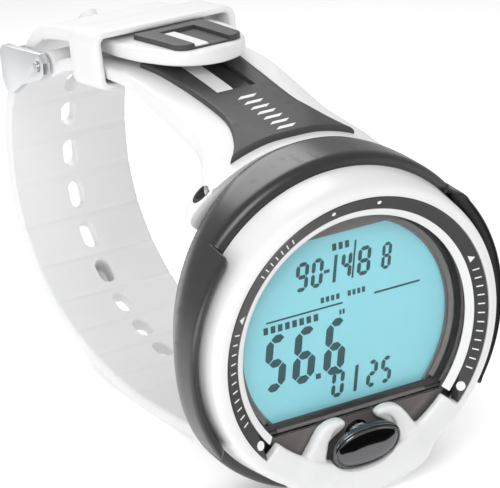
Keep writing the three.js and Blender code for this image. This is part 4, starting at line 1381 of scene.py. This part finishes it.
@dataclass
class StrapHalf:
    """Moulded strap half: a rounded band whose case end spreads into two ears."""

    run: StrapRun
    pin_y: float = 24.6
    pin_z: float = -21.3
    ear_radius: float = 3.0
    ear_from: float = 14.3
    ear_root_deg: float = 65.0
    ear_tip_deg: float = 42.5
    ear_front_z: float = -19.1
    case_side_run: float = 20.0
    edge: float = 0.75

    def half_width(self, run: float) -> float:
        """Half width of the band at a length along it."""
        z = self.run.at(run)[0][1]
        if run < self.run.runs[-1] / 2 and z > -33.0:
            return self.spread(z)
        return self.run.half_width

    def spread(self, z: float) -> float:
        """Half width of the spread end at a height."""
        knots = [(-19.1, 17.4), (-22.8, 17.3), (-24.0, 17.0), (-25.4, 16.1), (-27.0, 15.1),
                 (-29.0, 14.1), (-31.0, 13.4), (-33.0, 13.0)]
        for (z0, w0), (z1, w1) in zip(knots, knots[1:]):
            if z1 <= z <= z0:
                return mix(w0, w1, (z0 - z) / (z0 - z1))
        return 17.4 if z > -19.1 else 13.0

    def groove(self, run: float) -> float:
        """Depth of the moulded grooves on the inner face."""
        return 0.0

    def underside(self, x: float, run: float) -> float:
        """Height of the underside over the path.

        Args:
            x: Distance across from the middle.
            run: Length along the band.

        Returns:
            The height in mm.
        """
        place = self.run.at(run)[0]
        z = place[1]
        low = min(self.groove(run), self.run.cone_height(x, place, 3.3))
        near_case = abs(z - self.pin_z) < self.ear_radius and run < self.case_side_run
        if abs(x) < self.ear_from and z > self.pin_z - 3.4 and run < self.case_side_run:
            low = max(low, self.pin_y + 2.8 - abs(place[0]))
            low = min(low, self.run.face(x, place) - 1.0)
        elif abs(x) >= self.ear_from and near_case:
            reach = math.sqrt(self.ear_radius ** 2 - (z - self.pin_z) ** 2)
            low = min(low, self.pin_y - reach - abs(place[0]))
        return low

    def section(self, run: float) -> list[Point]:
        """Closed rounded section at a length along the band.

        Args:
            run: Length along the band.

        Returns:
            Its corners in order.
        """
        half = self.half_width(run)
        corner = min(self.edge, half * 0.8)
        place = self.run.at(run)[0]
        ring: list[Point] = []
        for k in range(6):
            turn = math.radians(90.0 * k / 5)
            x = half - corner + corner * math.cos(turn)
            ring.append(self.run.point(x, run, self.run.face(x, place)
                                       - corner * (1.0 - math.sin(turn))))
        tops = [mix(half - corner, corner - half, i / 26) for i in range(1, 26)]
        ring += [self.run.point(x, run, self.run.face(x, place)) for x in tops]
        for k in range(6):
            turn = math.radians(90.0 + 90.0 * k / 5)
            x = corner - half + corner * math.cos(turn)
            ring.append(self.run.point(x, run, self.run.face(x, place)
                                       - corner * (1.0 - math.sin(turn))))
        inner = min(0.6, half * 0.6)
        for k in range(1, 6):
            turn = math.radians(180.0 + 90.0 * k / 5)
            x = inner - half + inner * math.cos(turn)
            ring.append(self.run.point(x, run, self.underside(x, run)
                                       + inner * (1.0 + math.sin(turn))))
        step = min(self.ear_from, half - inner)
        spots = [mix(inner - half, -step - 0.03, i / 5) for i in range(1, 5)]
        spots += [mix(-step + 0.03, step - 0.03, i / 26) for i in range(27)]
        spots += [mix(step + 0.03, half - inner, i / 5) for i in range(1, 5)]
        ring += [self.run.point(x, run, self.underside(x, run)) for x in spots]
        for k in range(0, 5):
            turn = math.radians(270.0 + 90.0 * k / 5)
            x = half - inner + inner * math.cos(turn)
            ring.append(self.run.point(x, run, self.underside(x, run)
                                       + inner * (1.0 + math.sin(turn))))
        return ring

    def loft(self, name: str, runs: Sequence[float]) -> bpy.types.Object:
        """Skins the band over its stations.

        Args:
            name: The piece's name.
            runs: Lengths along the band, in order.

        Returns:
            The band.
        """
        piece = BENCH.make(name, lofted([self.section(run) for run in runs]))
        BENCH.shade(piece, 40)
        return piece

    def ears(self, name: str) -> bpy.types.Object:
        """Two rounded lobes that carry the spread end down round the pin, against the case.

        Args:
            name: The piece's name.

        Returns:
            One piece with both lobes, drilled for the pin.
        """
        side = self.run.side
        front = self.ear_front_z
        shapes = []
        for mirror in (1, -1):
            rings = []
            for i in range(25):
                share = i / 24
                angle = math.radians(mix(self.ear_root_deg, self.ear_tip_deg, share))
                closing = math.sqrt(max(0.0, 1.0 - max(0.0, (share - 0.78) / 0.22) ** 2))
                back = mix(-19.3, mix(-25.6, -22.6, share), max(0.06, closing))
                outer, inner = self.run.cone_radius - 0.03, self.run.cone_radius - 3.3
                outer = mix(inner + 1.6, outer, 0.35 + 0.65 * closing)
                soft = 0.35 * (outer - inner) * max(0.1, closing)
                depth = min(soft, (front - back) * 0.45)
                section = [(inner, front), (outer - soft * 0.2, front), (outer, front - depth * 0.3),
                           (outer, mix(front, back, 0.5)), (outer, back + depth),
                           (outer - soft * 0.3, back + depth * 0.3), (outer - soft, back),
                           (inner + soft * 0.5, back), (inner, back + depth * 0.5)]
                rings.append([(mirror * r * math.cos(angle), side * r * math.sin(angle), z)
                              for r, z in section])
            shapes.append(lofted(rings))
        piece = BENCH.make(name, *shapes)
        step = piece.modifiers.new("soften", "SUBSURF")
        step.levels = 1
        step.render_levels = 1
        BENCH.settle(piece)
        BENCH.shade(piece, 60)
        self.bore_pin(piece)
        spots = [prism_along_x(circle(1.45, 28, (side * self.pin_y, self.pin_z)), a, b)
                 for a, b in ((16.0, 24.0), (-24.0, -16.0))]
        BENCH.combine(piece, BENCH.make(name + "_sink_tool", *spots), "DIFFERENCE")
        BENCH.shade(piece, 40)
        return piece

    def bore_pin(self, piece: bpy.types.Object) -> None:
        """Drills the ears for their lug pin."""
        y = self.pin_y * self.run.side
        outline = circle(1.05, 24, (y, self.pin_z))
        tool = BENCH.make(piece.name + "_pin_tool", prism_along_x(outline, -24.0, 24.0))
        BENCH.combine(piece, tool, "DIFFERENCE")


@dataclass
class LongStrap(StrapHalf):
    """Half with the slots, which loops round to end in the tail."""

    slot_length: float = 5.4
    slot_width: float = 2.9
    slot_pitch: float = 8.65
    slot_count: int = 11
    first_slot_z: float = -76.6
    tail_end_z: float = -46.4
    groove_depth: float = 0.3

    def half_width(self, run: float) -> float:
        """Half width, with the narrower tail and its rounded tip."""
        if run < self.run.runs[-1] / 2:
            return super().half_width(run)
        z = self.run.at(run)[0][1]
        arcs = [((13.0, -97.0), (10.9, -82.0), (10.9, -70.0)),
                ((10.9, -70.0), (10.9, -60.0), (9.3, -56.0)),
                ((9.3, -56.0), (7.4, -46.4), (0.0, -46.4))]
        for a, b, c in arcs:
            if a[1] <= z <= c[1]:
                low, high = 0.0, 1.0
                for _ in range(30):
                    t = (low + high) / 2
                    level = (1 - t) ** 2 * a[1] + 2 * t * (1 - t) * b[1] + t * t * c[1]
                    low, high = (t, high) if level < z else (low, t)
                return max(0.05, (1 - t) ** 2 * a[0] + 2 * t * (1 - t) * b[0] + t * t * c[0])
        return 13.0 if z < -97.0 else 0.05

    def groove(self, run: float) -> float:
        """Soft grooves across the inner face, midway between the slots."""
        start = self.run.run_at(self.first_slot_z) - self.slot_pitch * 1.5
        end = start + self.slot_pitch * (self.slot_count + 1)
        if not start - 1.0 < run < end + 1.0:
            return 0.0
        away = (run - start) % self.slot_pitch
        away = min(away, self.slot_pitch - away)
        return self.groove_depth * (1.0 - smooth(away / 0.75))

    def build(self) -> None:
        """Builds the half, its slots and its ears."""
        end = self.run.run_at(self.tail_end_z, from_end=True)
        runs = [mix(0.0, end - 6.0, i / 330) for i in range(331)]
        runs += [end - 6.0 * (1.0 - i / 16) ** 2 for i in range(1, 16)] + [end - 0.01]
        piece = self.loft("strap_long_band", runs)
        first = self.run.run_at(self.first_slot_z)
        cutters = [self.slot_tool(first + i * self.slot_pitch) for i in range(self.slot_count)]
        BENCH.combine(piece, BENCH.make("slot_tool", *cutters), "DIFFERENCE")
        self.bore_pin(piece)
        BENCH.shade(piece, 40)
        BENCH.fit(piece, "root", STRAP_WHITE, "strap_long")
        BENCH.fit(self.ears("strap_long_ears"), "root", STRAP_WHITE)

    def slot_tool(self, run: float) -> Shape:
        """Cutter for one slot, flared at both faces.

        Args:
            run: Length along the band to the slot's middle.

        Returns:
            The cutter.
        """
        (y, z), (ny, nz) = self.run.at(run)
        ty, tz = -nz, ny
        thick = self.run.thickness
        rings = []
        for height, spread in ((-1.5, 0.5), (0.0, 0.34), (0.12, 0.2), (0.35, 0.06), (0.6, 0.0),
                               (thick - 0.4, 0.0), (thick - 0.2, 0.06), (thick, 0.22),
                               (thick + 1.5, 0.5)):
            ring = []
            for x, along in stadium(self.slot_length + spread, self.slot_width + spread, 8):
                ring.append((x, y + ty * along + ny * height, z + tz * along + nz * height))
            rings.append(ring)
        return lofted(rings)


@dataclass
class TailInlay:
    """Dark shield-shaped inlay on the tail, with a window that shows the strap at one side."""

    run: StrapRun
    start_z: float = -66.5
    end_z: float = -49.0

    def half(self, share: float) -> float:
        """Half width of the shield at a share along it.

        Args:
            share: How far along the shield, from 0 to 1.

        Returns:
            The half width in mm.
        """
        body = mix(7.3, 6.7, min(1.0, share / 0.85))
        if share > 0.85:
            t = (share - 0.85) / 0.15
            body = 6.7 - 2.4 * (1.0 - math.sqrt(max(0.0, 1.0 - t * t)))
        if share < 0.03:
            body -= 0.8 * (1.0 - math.sqrt(max(0.0, 1.0 - (1.0 - share / 0.03) ** 2)))
        return body

    def build(self) -> None:
        """Builds the shield, its window and what shows in it."""
        a = self.run.run_at(self.start_z, from_end=True)
        b = self.run.run_at(self.end_z, from_end=True)
        runs = sorted([mix(a, b, i / 50) for i in range(51)]
                      + [a + 0.08, a + 0.2, b - 0.08, b - 0.2])
        plate = BENCH.make("tail_shield", self.run.plate(
            lambda s: -self.half(s), self.half, runs, -0.06, 1.06))
        window = [mix(mix(a, b, 0.2), mix(a, b, 1.02), i / 30) for i in range(31)]
        tool = BENCH.make("window_tool", self.run.plate(
            lambda s: -3.6, lambda s: 3.6, window, 0.35, 2.5, 0.0))
        BENCH.combine(plate, tool, "DIFFERENCE")
        BENCH.round_edges(plate, 0.12, 40, 2)
        BENCH.fit(plate, "root", INLAY_GREY, "tail_inlay")
        inside = [mix(window[0] + 0.1, b - 0.3, i / 20) for i in range(21)]
        strip = BENCH.make("tail_window_strip", self.run.plate(
            lambda s: -3.4, lambda s: -0.7, inside, 0.3, 0.75, 0.15))
        BENCH.fit(strip, "root", STRAP_WHITE)
        floor = BENCH.make("tail_window_floor", self.run.plate(
            lambda s: -0.7, lambda s: 3.5, inside, 0.3, 0.42, 0.05))
        BENCH.fit(floor, "root", INLAY_WELL)


@dataclass
class ShortStrap(StrapHalf):
    """Half that carries the inlay and ends in the buckle's knuckle."""

    bar_y: float = 25.3
    bar_z: float = -93.0

    def build(self) -> None:
        """Builds the band, its knuckle and its notch for the tongue."""
        end = self.run.runs[-1]
        runs = [end * i / 150 for i in range(151)]
        piece = self.loft("strap_short_band", runs)
        knuckle = prism_along_x(circle(2.48, 40, (self.bar_y, self.bar_z)), -12.98, 12.98)
        roll = BENCH.make("knuckle_roll", knuckle)
        BENCH.round_edges(roll, 0.5)
        BENCH.combine(piece, roll, "UNION")
        cuts = [prism_along_x([(18, -100), (32, -100), (32, -88.6), (18, -88.6)], -1.8, 1.8),
                prism_along_x(circle(1.05, 24, (self.bar_y, self.bar_z)), -15.0, -2.5),
                prism_along_x(circle(1.05, 24, (self.bar_y, self.bar_z)), 2.5, 15.0)]
        BENCH.combine(piece, BENCH.make("notch_tool", *cuts), "DIFFERENCE")
        self.bore_pin(piece)
        BENCH.shade(piece, 40)
        BENCH.fit(piece, "root", STRAP_WHITE, "strap_short")
        BENCH.fit(self.ears("strap_short_ears"), "root", STRAP_WHITE)


@dataclass
class StrapInlay:
    """Dark inlay on the short half, with a window and a row of slanting bars."""

    run: StrapRun
    start_z: float = -21.5
    end_z: float = -62.0
    window_from_z: float = -41.5
    window_to_z: float = -61.0

    def half(self, share: float) -> float:
        """Half width at a share along the inlay: broad at the case, then waisted."""
        z = mix(self.start_z, self.end_z, share)
        knots = [(-21.5, 12.4), (-22.3, 11.5), (-24.0, 10.25), (-26.0, 9.25), (-28.0, 8.45),
                 (-30.0, 7.85), (-32.5, 7.35), (-35.0, 7.2), (-38.0, 7.2), (-42.0, 7.3),
                 (-48.0, 7.55), (-55.0, 8.0), (-62.0, 8.45)]
        for (z0, w0), (z1, w1) in zip(knots, knots[1:]):
            if z1 <= z <= z0:
                return mix(w0, w1, (z0 - z) / (z0 - z1))
        return 8.45

    def build(self) -> None:
        """Builds the inlay, the window's strip and floor, and the bars."""
        a, b = self.run.run_at(self.start_z), self.run.run_at(self.end_z)
        runs = sorted([mix(a, b, i / 110) for i in range(111)] + [a + 0.1, b - 0.1])
        plate = BENCH.make("inlay_plate", self.run.plate(
            lambda s: -self.half(s), self.half, runs, -0.06, 1.06, 0.3))
        c, d = self.run.run_at(self.window_from_z), self.run.run_at(self.window_to_z)
        span = [mix(c, d, i / 30) for i in range(31)]
        tool = BENCH.make("inlay_window_tool", self.run.plate(
            lambda s: -3.9, lambda s: 3.9, span, 0.4, 2.5, 0.0))
        BENCH.combine(plate, tool, "DIFFERENCE")
        BENCH.round_edges(plate, 0.12, 40, 2)
        BENCH.fit(plate, "root", INLAY_GREY, "strap_inlay")
        inside = [mix(c + 0.1, d - 0.1, i / 24) for i in range(25)]
        strip = BENCH.make("inlay_window_strip", self.run.plate(
            lambda s: -3.75, lambda s: -0.4, inside, 0.35, 0.95, 0.15))
        BENCH.fit(strip, "root", STRAP_WHITE)
        floor = BENCH.make("inlay_window_floor", self.run.plate(
            lambda s: -0.4, lambda s: 3.8, inside, 0.35, 0.45, 0.05))
        BENCH.fit(floor, "root", INLAY_WELL)
        shapes = []
        for i in range(7):
            run = self.run.run_at(-23.4 - 2.3 * i)
            shapes.append(self.run.plate(lambda s: -2.2 + 1.1 * s, lambda s: 1.1 + 1.1 * s,
                                         [run, run + 0.45, run + 0.9], 1.0, 1.12, 0.04))
        bars = BENCH.make("inlay_bars", *shapes)
        BENCH.fit(bars, "root", PRINT_WHITE)


@dataclass
class Keeper:
    """Loose white loop that holds the tail."""

    centre_y: float = 32.4
    centre_z: float = -73.0
    lean_deg: float = 9.5
    half_length: float = 5.98

    def outline(self, half_width: float, half_height: float, corner: float) -> list[Flat]:
        """Rounded rectangle with evenly matched points."""
        points = []
        for quarter, (sx, sy) in enumerate(((1, 1), (-1, 1), (-1, -1), (1, -1))):
            for k in range(9):
                turn = math.radians(90 * quarter + 90 * k / 8)
                points.append((sx * (half_width - corner) + corner * math.cos(turn),
                               sy * (half_height - corner) + corner * math.sin(turn)))
        return points

    def build(self) -> None:
        """Builds the loop with softly rounded edges."""
        outer = self.outline(14.78, 5.48, 2.2)
        inner = self.outline(13.3, 4.3, 1.0)
        lean = math.radians(-self.lean_deg)
        reach, soft = self.half_length, 0.62
        profile = [(0.0, -reach + 0.5), (0.12, -reach + 0.15), (0.4, -reach),
                   (0.6, -reach), (0.88, -reach + 0.18), (1.0, -reach + soft),
                   (1.0, -reach / 2), (1.0, reach / 2),
                   (1.0, reach - soft), (0.88, reach - 0.18), (0.6, reach), (0.4, reach),
                   (0.12, reach - 0.15), (0.0, reach - 0.5)]
        rings = []
        for (ox, oy), (ix, iy) in zip(outer, inner):
            ring = []
            for share, along in profile:
                x, y = mix(ix, ox, share), mix(iy, oy, share)
                ring.append((x, self.centre_y + y * math.cos(lean) - along * math.sin(lean),
                             self.centre_z + y * math.sin(lean) + along * math.cos(lean)))
            rings.append(ring)
        piece = BENCH.make("keeper_band", lofted(rings, True))
        BENCH.shade(piece, 50)
        BENCH.fit(piece, "keeper", STRAP_WHITE, "keeper_loop")


@dataclass
class Hardware:
    """Buckle, its tongue, the pins and the spring bar."""

    rounding: float = 0.3

    def build(self) -> None:
        """Builds each piece of metal that shows."""
        frame_piece = BENCH.refined("buckle_frame", "buckle_bow", self.rounding)
        BENCH.fit(frame_piece, "buckle", BUCKLE_STEEL, "buckle_frame")
        tongue = BENCH.refined("buckle_tongue", "buckle_pin", 0.2)
        BENCH.fit(tongue, "tongue", BUCKLE_STEEL, "buckle_tongue")
        # Painted shade: dark rings fill the pin holes where shade falls.
        self.painted_shade_rings()
        for node, name in (("lug_pin_12", "upper_lug_pin"), ("lug_pin_6", "lower_lug_pin"),
                           ("buckle_spring_bar", "spring_bar")):
            pin = BENCH.refined(node, name, 0.15)
            BENCH.fit(pin, "root", STEEL, node)


    def painted_shade_rings(self) -> None:
        """Dark rings of painted shade in the four pin holes, cut off flush with the ears; they stand
        for the shade inside the holes.
        """
        shapes = []
        for mirror, side, cone in ((1, 1, 30.66), (-1, 1, 30.66), (1, -1, 31.28), (-1, -1, 31.28)):
            rings = []
            for i in range(28):
                turn = math.tau * i / 28
                ring = []
                for radius, flush in ((1.06, False), (1.43, False), (1.43, True), (1.06, True)):
                    y = 24.6 + radius * math.sin(turn)
                    x = math.sqrt(cone * cone - y * y) - 0.12 if flush else 15.4
                    ring.append((mirror * x, side * y, -21.3 + radius * math.cos(turn)))
                rings.append(ring)
            shapes.append(lofted(rings, True))
        BENCH.fit(BENCH.make("pin_bushes", *shapes), "root", SEAL_BLACK)


# ---------------------------------------------------------------- hidden works


def finish_works() -> None:
    """Gives the sealed inner pieces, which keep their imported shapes, their finishes."""
    plain = {
        "lens_gasket": SEAL_BLACK, "battery_cap_seal": SEAL_BLACK, "button_seal": SEAL_BLACK,
        "backlight_panel": BACKLIGHT, "board_spacer": BACKLIGHT, "circuit_board": BOARD_GREEN,
        "tact_switch": SWITCH_BLACK, "buzzer": BRASS, "battery_contact": BRASS,
        "pressure_sensor": STEEL, "battery": CELL_STEEL, "button_stem": STEEL,
        "button_spring": STEEL, "button_clip": STEEL,
    }
    for node, finish in plain.items():
        piece = frame["nodes"][node]
        piece.data.materials.clear()
        piece.data.materials.append(finish.material())
        LOG.info("%s: %s", node, finish.name)


# ---------------------------------------------------------------- studio


@dataclass
class Studio:
    """Pale floor, soft lights and the camera."""

    focal_px: float = 2870.0
    frame_px: float = 500.0
    camera_mm: Point = (-226.25, 213.69, 380.65)
    world_strength: float = 0.55
    card_gap: float = 0.0065

    def build(self) -> None:
        """Builds the whole set."""
        self.floor()
        self.card()
        self.world()
        self.lights()
        self.camera()
        view = bpy.context.scene.view_settings
        view.view_transform = "Standard"
        view.look = "None"

    def floor(self) -> None:
        """Wide plain floor."""
        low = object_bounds()[0].z
        mesh = bpy.data.meshes.new("floor")
        size = 3.0
        mesh.from_pydata([(-size, -size, low), (size, -size, low), (size, size, low),
                          (-size, size, low)], [], [(0, 1, 2, 3)])
        floor = bpy.data.objects.new("floor", mesh)
        bpy.context.scene.collection.objects.link(floor)
        material = bpy.data.materials.new("Pale floor")
        material.use_nodes = True
        shader = material.node_tree.nodes["Principled BSDF"]
        shader.inputs["Base Color"].default_value = (0.9, 0.9, 0.9, 1.0)
        shader.inputs["Roughness"].default_value = 0.9
        shader.inputs["Emission Color"].default_value = (1.0, 1.0, 1.0, 1.0)
        shader.inputs["Emission Strength"].default_value = 0.27
        mesh.materials.append(material)
        floor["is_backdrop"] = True

    def card(self) -> None:
        """Dark card on the floor that only the button's gloss picks up."""
        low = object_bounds()[0].z + 0.0003
        front = WATCH.place((0.0, 0.0, 0.0)).y - self.card_gap
        mesh = bpy.data.meshes.new("dark_card")
        mesh.from_pydata([(-0.1, front - 0.16, low), (0.16, front - 0.16, low),
                          (0.16, front, low), (-0.1, front, low)], [], [(0, 1, 2, 3)])
        card = bpy.data.objects.new("dark_card", mesh)
        bpy.context.scene.collection.objects.link(card)
        material = bpy.data.materials.new("Dark card")
        material.use_nodes = True
        shader = material.node_tree.nodes["Principled BSDF"]
        shader.inputs["Base Color"].default_value = (0.01, 0.01, 0.01, 1.0)
        shader.inputs["Roughness"].default_value = 1.0
        mesh.materials.append(material)
        card.visible_camera = False
        card.visible_diffuse = False
        card.visible_shadow = False
        card.visible_transmission = False
        card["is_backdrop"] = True

    def world(self) -> None:
        """Even white surroundings."""
        world = bpy.data.worlds.new("Studio")
        world.use_nodes = True
        sky = world.node_tree.nodes["Background"]
        sky.inputs["Color"].default_value = (1.0, 1.0, 1.0, 1.0)
        sky.inputs["Strength"].default_value = self.world_strength
        bpy.context.scene.world = world

    def lights(self) -> None:
        """Soft panels round the object."""
        middle = WATCH.place((0.0, 0.0, -30.0))
        panels = (("key", (-150.0, 280.0, 230.0), 0.24, 0.7),
                  ("fill", (280.0, 40.0, 160.0), 0.3, 0.10),
                  ("side", (-330.0, -20.0, -10.0), 0.25, 0.38),
                  ("back", (22.0, 190.0, -250.0), 0.22, 0.34))
        for name, spot, size, power in panels:
            light = bpy.data.lights.new(name, "AREA")
            light.shape = "DISK"
            light.size = size
            light.energy = power
            lamp = bpy.data.objects.new(name, light)
            lamp.location = WATCH.place(spot)
            lamp.rotation_mode = "QUATERNION"
            lamp.rotation_quaternion = (middle - lamp.location).to_track_quat("-Z", "Y")
            bpy.context.scene.collection.objects.link(lamp)

    def camera(self) -> None:
        """Camera that looks over the nine and twelve o'clock side."""
        right = WATCH.aim((0.8708, -0.0403, 0.4900)).normalized()
        forward = WATCH.aim((0.4346, -0.4026, -0.8056)).normalized()
        upward = right.cross(forward).normalized()
        turn = Matrix((right, upward, -forward)).transposed()
        data = bpy.data.cameras.new("camera")
        data.sensor_width = 36.0
        data.lens = self.focal_px / self.frame_px * 36.0
        data.clip_start, data.clip_end = 0.01, 20.0
        camera = bpy.data.objects.new("camera", data)
        camera.matrix_world = Matrix.Translation(WATCH.place(self.camera_mm)) @ turn.to_4x4()
        bpy.context.scene.collection.objects.link(camera)
        bpy.context.scene.camera = camera


# ---------------------------------------------------------------- all together


def main() -> None:
    """Builds the dive computer and its studio."""
    logging.basicConfig(level=logging.INFO, format="%(name)s %(message)s")
    long_run = StrapRun(LONG_PATH, -1, 2.76, 31.35, 0.35, -24.0)
    short_run = StrapRun(SHORT_PATH, 1, 2.47, 30.72, 0.16, -20.0)
    assemblies = (Case(), Bezel(), Button(), Display(), LongStrap(long_run),
                  ShortStrap(short_run), StrapInlay(short_run), Keeper(), Hardware())
    for assembly in assemblies:
        LOG.info("building %s", type(assembly).__name__)
        assembly.build()
    TailInlay(long_run).build()
    finish_works()
    Studio().build()


if __name__ == "__main__":
    main()
